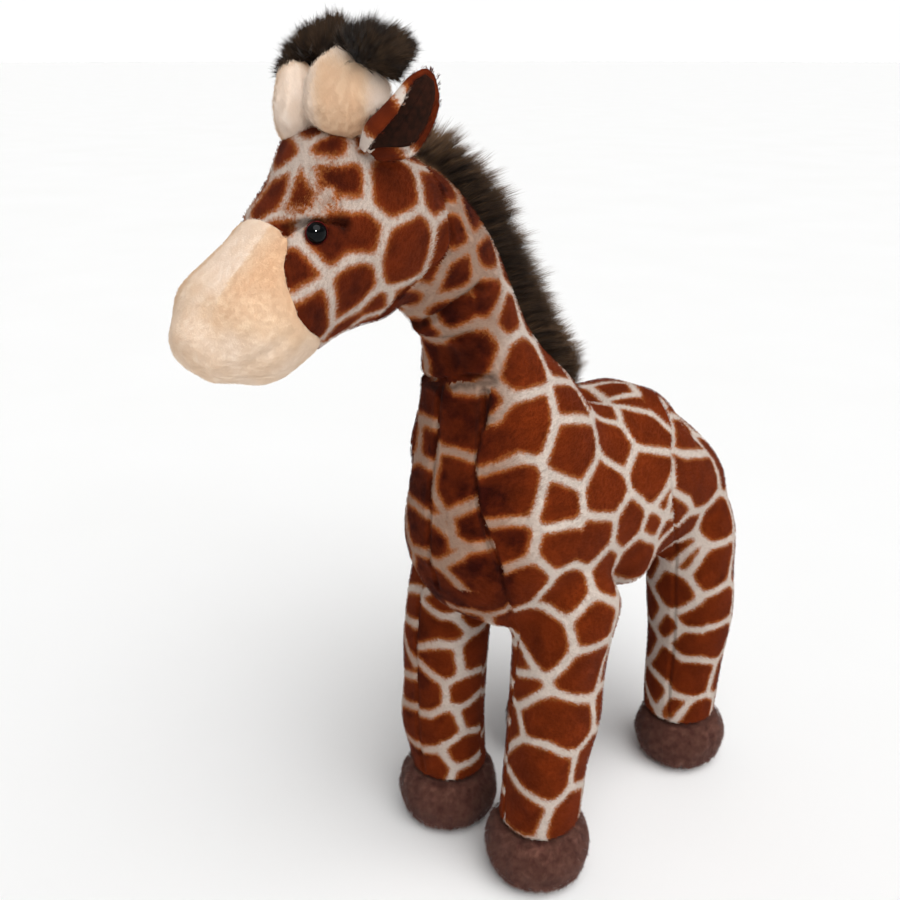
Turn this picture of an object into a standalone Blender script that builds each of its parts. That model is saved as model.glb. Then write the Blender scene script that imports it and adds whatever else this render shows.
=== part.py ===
"""A standing plush giraffe toy, about 56 cm tall, sewn from patterned plush and stuffed.

The toy faces -Y, its left side is +X and it stands on z = 0.  The stuffed body is modelled
whole from soft tubes, skinned as one closed form, and then parted with thin cuts along the
places where such a toy is sewn: muzzle, head, neck, trunk and four legs.  Feet, ears,
ossicones, mane, eyes and tail are pieces of their own.
"""

import math

import bmesh
import bpy
from mathutils import Matrix, Vector

MM = 0.001

# ---- driving dimensions, millimetres --------------------------------------------------
GAP = 0.3                  # clearance between pieces that are sewn together
BODY_VOXEL = 3.2           # grain of the skinning of the stuffed body
BODY_FACES = 3100          # triangles kept in the stuffed body before it is parted

FOOT_HEIGHT = 46.0         # plush foot, from the floor to its cuff
FOOT_RADIUS = 37.5
SOLE_RADIUS = 22.0         # the small flat under each foot
ANKLE_RADIUS = 28.5        # leg where it enters the cuff
THIGH_RADIUS = 32.5        # leg where it meets the trunk
LEG_TOP = 244.0            # height inside the trunk where a leg's tube ends
LEG_CUT = 186.0            # height of the seam between legs and trunk
FOOT_LAP = 14.0            # how far a leg's tube starts below its cuff

# foot x and y, middle x and y, top x and y, girth as a share of the usual
LEGS = {
    "leg_front_left": (42.0, -71.0, 46.0, -50.0, 42.0, -50.0, 1.06),
    "leg_front_right": (-42.0, -71.0, -47.0, -77.0, -42.0, -64.0, 0.95),
    "leg_hind_left": (42.0, 107.0, 43.0, 105.0, 42.0, 96.0, 1.02),
    "leg_hind_right": (-40.0, 42.0, -40.0, 58.0, -42.0, 80.0, 1.0),
}

# trunk, front to rump: (y, centre z, half width, half height)
TRUNK = (
    (-105.0, 284.0, 40.0, 48.0),
    (-91.0, 277.0, 57.0, 68.0),
    (-62.0, 267.0, 67.0, 75.0),
    (-10.0, 263.0, 68.0, 70.0),
    (40.0, 256.5, 69.0, 68.5),
    (86.0, 246.0, 66.0, 57.5),
    (113.0, 232.0, 58.0, 45.5),
    (132.0, 222.0, 42.0, 34.0),
)

# neck, from inside the trunk to inside the head: (y, z, half width, half depth)
NECK = (
    (-52.0, 286.0, 62.0, 65.0),
    (-68.0, 326.0, 55.0, 54.0),
    (-82.0, 353.0, 43.0, 43.0),
    (-93.0, 376.0, 35.0, 36.5),
    (-103.0, 400.0, 31.0, 33.5),
    (-118.0, 428.0, 30.0, 33.5),
    (-146.0, 452.0, 32.5, 37.5),
    (-176.0, 458.0, 34.0, 42.0),
)

# head and muzzle along their axis: (y, z, half width, half height)
HEAD = (
    (-140.0, 460.0, 26.0, 28.0),
    (-158.0, 459.0, 36.0, 42.0),
    (-184.0, 457.0, 39.0, 50.0),
    (-208.0, 447.0, 34.0, 43.0),
    (-227.0, 436.0, 32.0, 36.5),
    (-245.0, 426.0, 35.0, 34.5),
    (-260.0, 418.0, 35.0, 32.0),
    (-274.0, 411.0, 22.0, 20.0),
)

EYE_RADIUS = 5.0
EYE_AT = (26.5, -225.6, 466.7)

OSSICONE_AT = (17.0, -198.0, 500.0)
EAR_AT = (31.0, -187.0, 494.0)

MANE_WIDTH = 9.0           # half width of the mane at its seam
MANE_PILE = 35.0           # how far its pile stands out
MANE_ROOT = 4.0            # how deep its lower edge starts under the neck's ridge

SIDES = {"left": 1.0, "right": -1.0}


def smooth_rows(rows, steps):
    """A Catmull-Rom curve through rows of sizes, with `steps` spans between each pair."""
    padded = [rows[0], *rows, rows[-1]]
    out = []
    for a, b, c, d in zip(padded, padded[1:], padded[2:], padded[3:]):
        for step in range(steps):
            t = step / steps
            out.append(tuple(
                0.5 * (2 * q + (r - p) * t + (2 * p - 5 * q + 4 * r - s) * t * t
                       + (3 * q - p - 3 * r + s) * t ** 3)
                for p, q, r, s in zip(a, b, c, d)))
    out.append(tuple(rows[-1]))
    return out


def ring(centre, across, up, sides):
    """Points of an ellipse round `centre` with the half axes `across` and `up`."""
    turns = [2.0 * math.pi * n / sides for n in range(sides)]
    return [centre + across * math.cos(t) + up * math.sin(t) for t in turns]


def skin_rings(name, rings):
    """One closed mesh object over a row of like rings, with a flat face at each end."""
    bm = bmesh.new()
    loops = [[bm.verts.new(p * MM) for p in points] for points in rings]
    count = len(rings[0])
    for low, high in zip(loops, loops[1:]):
        for n in range(count):
            after = (n + 1) % count
            bm.faces.new((low[n], low[after], high[after], high[n]))
    for loop in (loops[0], loops[-1]):
        bm.faces.new(loop)
    bmesh.ops.recalc_face_normals(bm, faces=bm.faces)
    return object_from(bm, name)


def object_from(bm, name):
    """A new object, linked to the scene, that takes a bmesh as its mesh."""
    mesh = bpy.data.meshes.new(name)
    bm.to_mesh(mesh)
    bm.free()
    obj = bpy.data.objects.new(name, mesh)
    bpy.context.scene.collection.objects.link(obj)
    return obj


def round_ends(rows, caps=3):
    """Adds shrinking rows past both ends of a tube, so that it closes as a dome."""
    def dome(end, inner):
        axis = Vector((0.0, end[0] - inner[0], end[1] - inner[1])).normalized()
        reach = 0.55 * min(end[2], end[3])
        extra = []
        for step in range(1, caps + 1):
            turn = 0.5 * math.pi * step / (caps + 0.35)
            out = reach * math.sin(turn)
            size = math.cos(turn)
            extra.append((end[0] + axis.y * out, end[1] + axis.z * out,
                          end[2] * size, end[3] * size))
        return extra
    return dome(rows[0], rows[1])[::-1] + list(rows) + dome(rows[-1], rows[-2])


def soft_tube(name, rows, steps=4, sides=28, narrowing=0.0):
    """A stuffed tube in the middle plane through rows of (y, z, half width, half height).

    `narrowing` makes its upper side narrower and its lower side wider by that share.
    """
    stations = round_ends(smooth_rows(rows, steps))
    rings = []
    for n, (y, z, width, height) in enumerate(stations):
        before = stations[max(n - 1, 0)]
        after = stations[min(n + 1, len(stations) - 1)]
        along = Vector((0.0, after[0] - before[0], after[1] - before[1])).normalized()
        up = Vector((0.0, -along.z, along.y))
        points = ring(Vector((0.0, y, z)), Vector((width, 0.0, 0.0)), up * height, sides)
        for point in points:
            point.x *= 1.0 - narrowing * (point - Vector((0.0, y, z))).dot(up) / height
        rings.append(points)
    return skin_rings(name, rings)


def apply_modifiers(obj):
    """Replaces an object's mesh by the one its modifiers give."""
    graph = bpy.context.evaluated_depsgraph_get()
    mesh = bpy.data.meshes.new_from_object(obj.evaluated_get(graph))
    obj.modifiers.clear()
    obj.data = mesh


def tidy(obj, distance=0.02):
    """Welds an object's near points and turns its faces outward."""
    bm = bmesh.new()
    bm.from_mesh(obj.data)
    bmesh.ops.remove_doubles(bm, verts=bm.verts, dist=distance * MM)
    bmesh.ops.dissolve_degenerate(bm, edges=bm.edges, dist=distance * MM)
    bmesh.ops.triangulate(bm, faces=bm.faces)
    bmesh.ops.recalc_face_normals(bm, faces=bm.faces)
    bm.to_mesh(obj.data)
    bm.free()


def join(pieces, name):
    """Joins objects into one of the given name."""
    bm = bmesh.new()
    for piece in pieces:
        bm.from_mesh(piece.data)
        bpy.data.objects.remove(piece)
    return object_from(bm, name)


def copy_of(obj, name):
    """A copy of an object with a mesh of its own."""
    new = bpy.data.objects.new(name, obj.data.copy())
    bpy.context.scene.collection.objects.link(new)
    return new


def carve(piece, neighbour, gap=GAP):
    """Cuts a neighbour, grown by the gap, out of a piece."""
    grown = copy_of(neighbour, "grown")
    bm = bmesh.new()
    bm.from_mesh(grown.data)
    bm.normal_update()
    for vert in bm.verts:
        vert.co += vert.normal * gap * MM * vert.calc_shell_factor()
    bm.to_mesh(grown.data)
    bm.free()
    cut = piece.modifiers.new("carve", "BOOLEAN")
    cut.operation = "DIFFERENCE"
    cut.solver = "EXACT"
    cut.object = grown
    apply_modifiers(piece)
    bpy.data.objects.remove(grown)
    tidy(piece)
    keep_part(piece, lambda part: -len(part))


def keep_side(obj, point, normal):
    """Cuts an object with a plane, drops what the normal points to and closes the cut."""
    bm = bmesh.new()
    bm.from_mesh(obj.data)
    shift = Vector(normal).normalized() * (0.5 * GAP)
    cut = bmesh.ops.bisect_plane(
        bm, geom=[*bm.verts, *bm.edges, *bm.faces], dist=1e-7,
        plane_co=(Vector(point) - shift) * MM, plane_no=normal, clear_outer=True)
    rim = [e for e in cut["geom_cut"] if isinstance(e, bmesh.types.BMEdge)]
    caps = bmesh.ops.holes_fill(bm, edges=rim, sides=0)["faces"]
    bmesh.ops.triangulate(bm, faces=caps)
    bm.to_mesh(obj.data)
    bm.free()
    tidy(obj, 0.01)


def loose_parts(bm):
    """The sets of vertices that hang together in a bmesh."""
    left = set(bm.verts)
    parts = []
    while left:
        front = [left.pop()]
        part = set(front)
        while front:
            for edge in front.pop().link_edges:
                fresh = left.intersection(edge.verts)
                left -= fresh
                part |= fresh
                front.extend(fresh)
        parts.append(part)
    return parts


def keep_part(obj, rank):
    """Keeps only the loose part of a mesh that `rank` puts first."""
    bm = bmesh.new()
    bm.from_mesh(obj.data)
    kept = min(loose_parts(bm), key=rank)
    bmesh.ops.delete(bm, geom=[v for v in bm.verts if v not in kept], context="VERTS")
    bm.to_mesh(obj.data)
    bm.free()


def keep_part_near(obj, point):
    """Keeps only the loose part whose middle lies nearest to a point."""
    target = Vector(point) * MM
    keep_part(obj, lambda part: (sum((v.co for v in part), Vector()) / len(part) - target).length)


# ---- the stuffed body -----------------------------------------------------------------

def leg_tube(name, foot_x, foot_y, middle_x, middle_y, top_x, top_y, girth):
    """One leg, from inside its foot up into the trunk, a little wider above."""
    steps = 14
    rings = []
    low = FOOT_HEIGHT - FOOT_LAP
    for step in range(steps + 1):
        t = step / steps
        near = (1.0 - t) ** 2
        middle = 2.0 * t * (1.0 - t)
        far = t * t
        centre = Vector((near * foot_x + middle * middle_x + far * top_x,
                         near * foot_y + middle * middle_y + far * top_y,
                         low + (LEG_TOP - low) * t))
        radius = ANKLE_RADIUS + (THIGH_RADIUS - ANKLE_RADIUS) * min(1.0, 1.6 * t)
        radius *= 1.0 + (girth - 1.0) * min(1.0, 4.0 * t)
        radius *= min(1.0, 0.45 + 3.0 * (1.0 - t)) ** 0.5
        rings.append(ring(centre, Vector((radius, 0.0, 0.0)), Vector((0.0, radius, 0.0)), 24))
    return skin_rings(name, rings)


def stuffed_body():
    """Trunk, neck, head, muzzle and legs skinned as one soft closed form."""
    tubes = [soft_tube("trunk_tube", TRUNK), soft_tube("neck_tube", NECK),
             soft_tube("head_tube", HEAD, narrowing=0.12)]
    for name, sizes in LEGS.items():
        tubes.append(leg_tube(name + "_tube", *sizes))
    body = join(tubes, "body")
    skin = body.modifiers.new("skin", "REMESH")
    skin.mode = "VOXEL"
    skin.voxel_size = BODY_VOXEL * MM
    soften = body.modifiers.new("soften", "SMOOTH")
    soften.iterations = 16
    soften.factor = 0.5
    apply_modifiers(body)
    thin = body.modifiers.new("thin", "DECIMATE")
    thin.ratio = BODY_FACES / sum(len(p.vertices) - 2 for p in body.data.polygons)
    apply_modifiers(body)
    tidy(body)
    return body


# planes that part the body: a point in the middle plane and the side they face
HEAD_SEAM = ((0.0, -150.0, 454.0), (0.0, -1.0, 0.12))
MUZZLE_SEAM = ((0.0, -236.0, 449.0), (0.0, -0.92, -0.39))
NECK_SEAM = ((0.0, -78.0, 339.0), (0.0, -0.42, 0.91))


def flipped(plane):
    """The same cut seen from its other side."""
    point, normal = plane
    return point, tuple(-n for n in normal)


def part_body(body):
    """The body's named pieces, each closed, with the sewing gap between them."""
    leg_seam = ((0.0, 0.0, LEG_CUT), (0.0, 0.0, -1.0))
    ankle_seam = ((0.0, 0.0, FOOT_HEIGHT + 0.5 * GAP), (0.0, 0.0, -1.0))
    cuts = {
        "muzzle": ((0.0, -270.0, 430.0), (flipped(NECK_SEAM), flipped(MUZZLE_SEAM))),
        "head": ((0.0, -200.0, 460.0), (flipped(NECK_SEAM), MUZZLE_SEAM, flipped(HEAD_SEAM))),
        "neck": ((0.0, -110.0, 420.0), (flipped(NECK_SEAM), HEAD_SEAM)),
        "trunk": ((0.0, 20.0, 265.0), (NECK_SEAM, leg_seam)),
    }
    for name, (foot_x, foot_y, *_) in LEGS.items():
        middle = (foot_x, foot_y, 0.5 * (LEG_CUT + FOOT_HEIGHT))
        cuts[name] = (middle, (flipped(leg_seam), ankle_seam))
    pieces = {}
    for name, (middle, planes) in cuts.items():
        piece = copy_of(body, name)
        for point, normal in planes:
            keep_side(piece, point, normal)
        keep_part_near(piece, middle)
        pieces[name] = piece
    bpy.data.objects.remove(body)
    return pieces


# ---- feet, eyes, ossicones, ears, mane and tail ----------------------------------------

def foot(name, x, y):
    """A plush foot: a round cushion with a flat sole and a flat top under the ankle."""
    profile = []
    steps = 8
    for step in range(steps + 1):
        turn = math.pi * (step / steps - 0.5)
        bulge = math.cos(turn) ** 0.7
        low = SOLE_RADIUS if turn < 0 else ANKLE_RADIUS - 3.0
        radius = low + (FOOT_RADIUS - low) * bulge
        z = 0.5 * FOOT_HEIGHT * (1.0 + math.sin(turn))
        profile.append((radius, z))
    rings = [ring(Vector((x, y, z)), Vector((r, 0.0, 0.0)), Vector((0.0, r, 0.0)), 18)
             for r, z in profile]
    return skin_rings(name, rings)


def ball(name, centre, radius, squash=1.0, facing=(0.0, 0.0, 1.0), segments=12, rings=7):
    """A round or flattened ball whose short axis points along `facing`."""
    bm = bmesh.new()
    turn = Vector(facing).to_track_quat("Z", "Y").to_matrix().to_4x4()
    flatten = Matrix.Diagonal((1.0, 1.0, squash, 1.0))
    place = Matrix.Translation(Vector(centre) * MM)
    bmesh.ops.create_uvsphere(bm, u_segments=segments, v_segments=rings, radius=radius * MM,
                              matrix=place @ turn @ flatten)
    bmesh.ops.triangulate(bm, faces=bm.faces)
    return object_from(bm, name)


def straight_tube(name, rows, lean, sides=12):
    """A plump tube of (height, half width, half depth) rows along a leaning axis."""
    start, along, across = (Vector(v) for v in lean)
    along.normalize()
    across = (across - along * across.dot(along)).normalized()
    deep = along.cross(across)
    rings = [ring(start + along * h, across * w, deep * d, sides) for h, w, d in rows]
    return skin_rings(name, rings)


OSSICONE_ROWS = (
    (-14.0, 14.0, 11.0),
    (0.0, 17.0, 12.5),
    (13.0, 20.0, 13.5),
    (26.0, 19.0, 13.0),
    (37.0, 13.0, 10.0),
    (46.0, 5.0, 5.0),
)

OSSICONE_TUFT_ROWS = (
    (6.0, 9.0, 8.0),
    (12.0, 16.0, 13.0),
    (20.0, 19.5, 16.0),
    (29.0, 19.0, 16.0),
    (37.0, 14.0, 12.0),
    (43.0, 6.0, 5.0),
)


def ossicone(side):
    """One plush knob, flattened like a petal, and the dark tuft that leans out and back on it."""
    mirror = SIDES[side]
    x, y, z = OSSICONE_AT
    across = (0.62 * mirror, 0.79, 0.0)
    low = Vector((x * mirror, y, z))
    knob = straight_tube("ossicone_" + side, smooth_rows(OSSICONE_ROWS, 2),
                         (low, (0.04 * mirror, 0.0, 1.0), across))
    high = low + Vector((2.0 * mirror, 3.0, 18.0))
    tuft = straight_tube("ossicone_tuft_" + side, smooth_rows(OSSICONE_TUFT_ROWS, 2),
                         (high, (0.30 * mirror, 0.36, 1.0), across))
    return knob, tuft


EAR_ROWS = (
    (-10.0, 7.0, 5.5),
    (0.0, 9.5, 6.5),
    (13.0, 14.0, 6.5),
    (26.0, 15.5, 5.5),
    (38.0, 11.5, 4.0),
    (46.0, 4.0, 2.0),
)


def ear(side):
    """One ear: a flattened leaf that stands out and up behind the ossicone."""
    mirror = SIDES[side]
    x, y, z = EAR_AT
    lean = (Vector((x * mirror, y, z)), (0.48 * mirror, 0.22, 0.85), (0.25 * mirror, 0.90, -0.60))
    return straight_tube("ear_" + side, smooth_rows(EAR_ROWS, 2), lean)


# mane, from the poll down to the withers: (y, z) of the neck's ridge under it
MANE_RIDGE = (
    (-152.0, 492.0),
    (-130.0, 482.0),
    (-100.0, 447.0),
    (-76.0, 408.0),
    (-50.0, 368.0),
    (-26.0, 340.0),
    (-6.0, 324.0),
)


def mane():
    """A long-pile strip that stands on the neck's ridge from poll to withers."""
    ridge = smooth_rows(MANE_RIDGE, 3)
    last = len(ridge) - 1
    rings = []
    for n, (y, z) in enumerate(ridge):
        before = ridge[max(n - 1, 0)]
        after = ridge[min(n + 1, last)]
        along = Vector((0.0, after[0] - before[0], after[1] - before[1])).normalized()
        out = Vector((0.0, -along.z, along.y))
        taper = min(1.0, 0.30 + 2.2 * n / last, 0.40 + 5.0 * (last - n) / last)
        pile = MANE_PILE * taper
        middle = Vector((0.0, y, z)) + out * (0.5 * pile - MANE_ROOT)
        half = 0.5 * pile + MANE_ROOT
        rings.append(ring(middle, Vector((MANE_WIDTH, 0.0, 0.0)), out * half, 12))
    return skin_rings("mane", rings)


TAIL_PATH = (
    (128.0, 250.0, 9.0, 9.0),
    (146.0, 243.0, 9.0, 9.0),
    (158.0, 220.0, 7.5, 7.5),
    (160.0, 192.0, 6.5, 6.5),
)
TAIL_TUFT = (
    (160.0, 193.0, 7.0, 7.0),
    (160.5, 181.0, 11.0, 11.0),
    (161.0, 163.0, 12.5, 12.5),
    (161.0, 147.0, 7.5, 7.5),
)


# ---- looks ------------------------------------------------------------------------------

FINISHES = {
    "patched_plush": ((0.20, 0.045, 0.012), 0.95),
    "cream_plush": ((0.80, 0.62, 0.44), 0.95),
    "dark_pile": ((0.030, 0.018, 0.012), 0.95),
    "foot_plush": ((0.11, 0.055, 0.042), 0.95),
    "eye_plastic": ((0.004, 0.004, 0.005), 0.08),
}

FINISH_OF = {
    "muzzle": "cream_plush",
    "ossicone": "cream_plush",
    "ossicone_tuft": "dark_pile",
    "mane": "dark_pile",
    "tail_tuft": "dark_pile",
    "foot": "foot_plush",
    "eye": "eye_plastic",
}


def finish_for(name):
    """The finish of a node, by the longest start of its name that is listed."""
    starts = [start for start in FINISH_OF if name.startswith(start)]
    return FINISH_OF[max(starts, key=len)] if starts else "patched_plush"


def paint(obj):
    """Gives a piece its own material."""
    colour, roughness = FINISHES[finish_for(obj.name)]
    material = bpy.data.materials.new(obj.name)
    material.use_nodes = True
    shader = material.node_tree.nodes["Principled BSDF"]
    shader.inputs["Base Color"].default_value = (*colour, 1.0)
    shader.inputs["Roughness"].default_value = roughness
    obj.data.materials.clear()
    obj.data.materials.append(material)
    obj.data.shade_smooth()


def build():
    """Makes every piece, sets the origin under the middle and files them in a collection."""
    for obj in list(bpy.data.objects):
        bpy.data.objects.remove(obj)

    pieces = part_body(stuffed_body())

    for side, mirror in SIDES.items():
        x, y, z = EYE_AT
        facing = (mirror, -0.35, 0.10)
        eye = ball("eye_" + side, (x * mirror, y, z), EYE_RADIUS, 0.8, facing)
        carve(pieces["head"], eye)
        pieces[eye.name] = eye

    for name, (foot_x, foot_y, *_) in LEGS.items():
        node = name.replace("leg", "foot")
        pieces[node] = foot(node, foot_x, foot_y)

    for side in SIDES:
        knob, tuft = ossicone(side)
        carve(knob, pieces["head"])
        carve(tuft, knob)
        flap = ear(side)
        carve(flap, pieces["head"])
        carve(flap, pieces["neck"])
        carve(flap, knob)
        carve(flap, tuft)
        for piece in (knob, tuft, flap):
            pieces[piece.name] = piece

    strip = mane()
    for neighbour in ("head", "neck", "trunk"):
        carve(strip, pieces[neighbour])
    pieces["mane"] = strip

    tail = soft_tube("tail", TAIL_PATH, 2, 10)
    carve(tail, pieces["trunk"])
    tuft = soft_tube("tail_tuft", TAIL_TUFT, 2, 10)
    carve(tuft, tail)
    pieces["tail"] = tail
    pieces["tail_tuft"] = tuft

    corners = [v.co for piece in pieces.values() for v in piece.data.vertices]
    middle = Vector((0.5 * (min(c.x for c in corners) + max(c.x for c in corners)),
                     0.5 * (min(c.y for c in corners) + max(c.y for c in corners)), 0.0))
    toy = bpy.data.collections.new("plush_giraffe")
    bpy.context.scene.collection.children.link(toy)
    for name, piece in pieces.items():
        piece.name = name
        piece.data.transform(Matrix.Translation(-middle))
        paint(piece)
        bpy.context.scene.collection.objects.unlink(piece)
        toy.objects.link(piece)


build()
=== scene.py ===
"""A standing plush giraffe toy: covers, markings, pile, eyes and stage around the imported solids."""

import math
from functools import partial

import bmesh
import bpy
import numpy as np
from bpy.props import FloatProperty, FloatVectorProperty, IntProperty, PointerProperty
from mathutils import Matrix, Vector, noise
from mathutils.bvhtree import BVHTree


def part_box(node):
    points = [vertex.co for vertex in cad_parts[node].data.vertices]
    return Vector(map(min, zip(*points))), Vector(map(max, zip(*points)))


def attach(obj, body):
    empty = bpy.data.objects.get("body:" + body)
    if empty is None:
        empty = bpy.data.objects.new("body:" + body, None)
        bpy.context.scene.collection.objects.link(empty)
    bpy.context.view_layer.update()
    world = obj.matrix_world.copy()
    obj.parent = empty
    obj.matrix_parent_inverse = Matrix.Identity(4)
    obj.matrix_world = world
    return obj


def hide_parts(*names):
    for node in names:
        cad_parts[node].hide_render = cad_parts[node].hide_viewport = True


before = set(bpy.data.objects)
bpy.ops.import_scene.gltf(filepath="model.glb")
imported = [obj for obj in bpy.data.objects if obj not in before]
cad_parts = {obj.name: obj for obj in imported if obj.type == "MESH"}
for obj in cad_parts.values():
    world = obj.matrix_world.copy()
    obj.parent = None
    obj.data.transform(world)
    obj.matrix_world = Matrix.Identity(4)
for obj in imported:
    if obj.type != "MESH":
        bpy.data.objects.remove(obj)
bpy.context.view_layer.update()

bl_info = {
    "name": "Plush Giraffe",
    "version": (1, 0, 0),
    "blender": (4, 5, 0),
    "location": "3D View > Sidebar > Plush Giraffe",
    "description": "Covers, markings, pile and stage of a standing plush giraffe toy",
    "category": "Add Mesh",
}

MM = 0.001
SIDES = {"left": 1.0, "right": -1.0}
LEGS = ("front_left", "front_right", "hind_left", "hind_right")
FLESH = ("head", "neck", "trunk", "muzzle") + tuple("leg_" + leg for leg in LEGS)


def linear(hex_code):
    """An sRGB hex colour as linear red, green and blue."""
    parts = [int(hex_code[n:n + 2], 16) / 255.0 for n in (1, 3, 5)]
    return tuple(p / 12.92 if p <= 0.04045 else ((p + 0.055) / 1.055) ** 2.4 for p in parts)


def colour_property(name, description, hex_code):
    """A colour setting whose default is an sRGB hex value."""
    return FloatVectorProperty(name=name, description=description, subtype="COLOR", size=3,
                               min=0.0, max=1.0, default=linear(hex_code))


def length_property(name, description, millimetres):
    """A length setting whose default is given in millimetres."""
    return FloatProperty(name=name, description=description, subtype="DISTANCE", unit="LENGTH",
                         min=0.0, default=millimetres * MM)


# ---- settings -----------------------------------------------------------------------------

class CoverSettings(bpy.types.PropertyGroup):
    """Sizes of the sewn and stuffed covers."""

    grain: length_property("Grain", "Voxel size of the cover's mesh", 2.25)
    coat_depth: length_property("Coat Depth", "How far the cover lies inside the coat's tips", 1.5)
    softening: IntProperty(name="Softening", description="Rounds of smoothing over the stuffing",
                           min=0, default=24)
    seam_depth: length_property("Seam Depth", "How deep a sewn seam pulls the cover in", 2.2)


class MarkingSettings(bpy.types.PropertyGroup):
    """The printed coat of patches and pale lines."""

    patch_size: length_property("Patch Size", "Usual distance between patch centres", 33.0)
    line_width: length_property("Line Width", "Width of the pale lines between patches", 5.0)
    wobble: length_property("Wobble", "How far the patch borders wander", 1.7)
    patch_colour: colour_property("Patch", "Rust brown of the patches", "#712a09")
    # the deep brown also carries painted shade on the front, throat, chest and hindquarters
    deep_colour: colour_property("Deep Patch", "Darker brown inside some patches", "#340a02")
    edge_colour: colour_property("Patch Edge", "Tan where a patch fades into a line", "#a05c2c")
    line_colour: colour_property("Line", "Cream of the lines", "#cfc1b6")
    # painted shade: the lines on the front are turned to this tan
    shaded_line_colour: colour_property("Chest Line", "Tan cream of the chest's lines", "#98755f")


class PileSettings(bpy.types.PropertyGroup):
    """The short plush pile."""

    body_tufts: FloatProperty(name="Body Tufts", description="Tufts for each square metre",
                              min=0.0, default=370000.0)
    body_pile: length_property("Body Pile", "Length of the body's pile", 1.6)
    face_pile: length_property("Face Pile", "Length of the pile on the face", 1.4)
    brow_pile: length_property("Brow Pile", "Length of the ruffled pile over the eyes", 2.5)
    muzzle_pile: length_property("Muzzle Pile", "Length of the muzzle's pile", 1.3)
    foot_pile: length_property("Foot Pile", "Length of the feet's pile", 3.8)
    ossicone_pile: length_property("Ossicone Pile", "Length of the ossicones' pile", 1.6)


class LongPileSettings(bpy.types.PropertyGroup):
    """The long dark pile of the mane and the tufts."""

    mane_length: length_property("Mane Length", "Length of the mane's pile", 23.0)
    tuft_length: length_property("Tuft Length", "Length of the ossicone tufts' pile", 19.0)
    tail_length: length_property("Tail Length", "Length of the tail tuft's pile", 30.0)


class StageSettings(bpy.types.PropertyGroup):
    """Camera, floor and lights."""

    eye_height: length_property("Camera Height", "Height of the camera over the floor", 543.5)
    eye_forward: length_property("Camera Forward", "Distance ahead of the near front foot", 433.0)
    eye_aside: length_property("Camera Aside", "Distance to the left of the near front foot", 348.0)
    pan: FloatProperty(name="Pan", description="Turn of the view towards the toy",
                       subtype="ANGLE", default=math.radians(45.0))
    tilt: FloatProperty(name="Tilt", description="How far the view looks down",
                        subtype="ANGLE", default=math.radians(22.0))
    key_strength: FloatProperty(name="Key", description="Strength of the soft key light",
                                min=0.0, default=2.75)
    spark_power: FloatProperty(name="Small Lamp", description="Power of the lamp seen in the eyes",
                               min=0.0, default=4.5)
    floor_colour: colour_property("Floor", "Pale studio floor", "#f7f7f7")


GROUPS = {
    "giraffe_cover": CoverSettings,
    "giraffe_marking": MarkingSettings,
    "giraffe_pile": PileSettings,
    "giraffe_long_pile": LongPileSettings,
    "giraffe_stage": StageSettings,
}


# ---- mesh helpers -------------------------------------------------------------------------

def new_object(name, data):
    """Links a new object with a mesh, a lamp or a camera to the scene."""
    obj = bpy.data.objects.new(name, data)
    bpy.context.scene.collection.objects.link(obj)
    return obj


def object_from(name, bm):
    """A new object from a bmesh, which is freed."""
    mesh = bpy.data.meshes.new(name)
    bm.to_mesh(mesh)
    bm.free()
    mesh.shade_smooth()
    return new_object(name, mesh)


def drop(obj):
    """Removes an object and its mesh."""
    mesh = obj.data
    bpy.data.objects.remove(obj)
    bpy.data.meshes.remove(mesh)


def baked(obj):
    """Replaces an object's mesh by the one its modifiers give."""
    graph = bpy.context.evaluated_depsgraph_get()
    mesh = bpy.data.meshes.new_from_object(obj.evaluated_get(graph))
    obj.modifiers.clear()
    old = obj.data
    obj.data = mesh
    bpy.data.meshes.remove(old)
    mesh.name = obj.name
    return obj


def read_points(mesh):
    """Vertex places in millimetres."""
    points = np.empty(len(mesh.vertices) * 3, np.float32)
    mesh.vertices.foreach_get("co", points)
    return points.reshape(-1, 3).astype(float) / MM


def write_points(mesh, points):
    """Sets the vertex places from millimetres."""
    mesh.vertices.foreach_set("co", (points * MM).astype(np.float32).ravel())
    mesh.update()


def read_normals(mesh):
    """Vertex normals."""
    normals = np.empty(len(mesh.vertices) * 3, np.float32)
    mesh.vertex_normals.foreach_get("vector", normals)
    return normals.reshape(-1, 3).astype(float)


def write_attribute(mesh, name, values):
    """Stores a number, a whole number or a vector for each vertex, or one number for all."""
    values = np.asarray(values)
    if not values.ndim:
        values = np.full(len(mesh.vertices), values)
    whole = values.dtype.kind == "i"
    kind = "FLOAT_VECTOR" if values.ndim == 2 else "INT" if whole else "FLOAT"
    layer = mesh.attributes.get(name) or mesh.attributes.new(name, kind, "POINT")
    layer.data.foreach_set("vector" if values.ndim == 2 else "value",
                           values.astype(np.int32 if whole else np.float32).ravel())


def unit(vectors):
    """Rows of vectors at length one."""
    return vectors / np.maximum(np.linalg.norm(vectors, axis=-1, keepdims=True), 1e-9)


def ease(values, low, high):
    """A smooth step from 0 at low to 1 at high."""
    t = np.clip((values - low) / (high - low), 0.0, 1.0)
    return t * t * (3.0 - 2.0 * t)


def middle(node):
    """The middle of a CAD node's box, in millimetres."""
    low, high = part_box(node)
    return np.array((low + high) * 0.5) / MM


def flesh_copy(name, nodes):
    """A merged copy of CAD nodes."""
    bm = bmesh.new()
    for node in nodes:
        bm.from_mesh(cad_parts[node].data)
    bmesh.ops.remove_doubles(bm, verts=bm.verts, dist=0.02 * MM)
    return object_from(name, bm)


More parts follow.
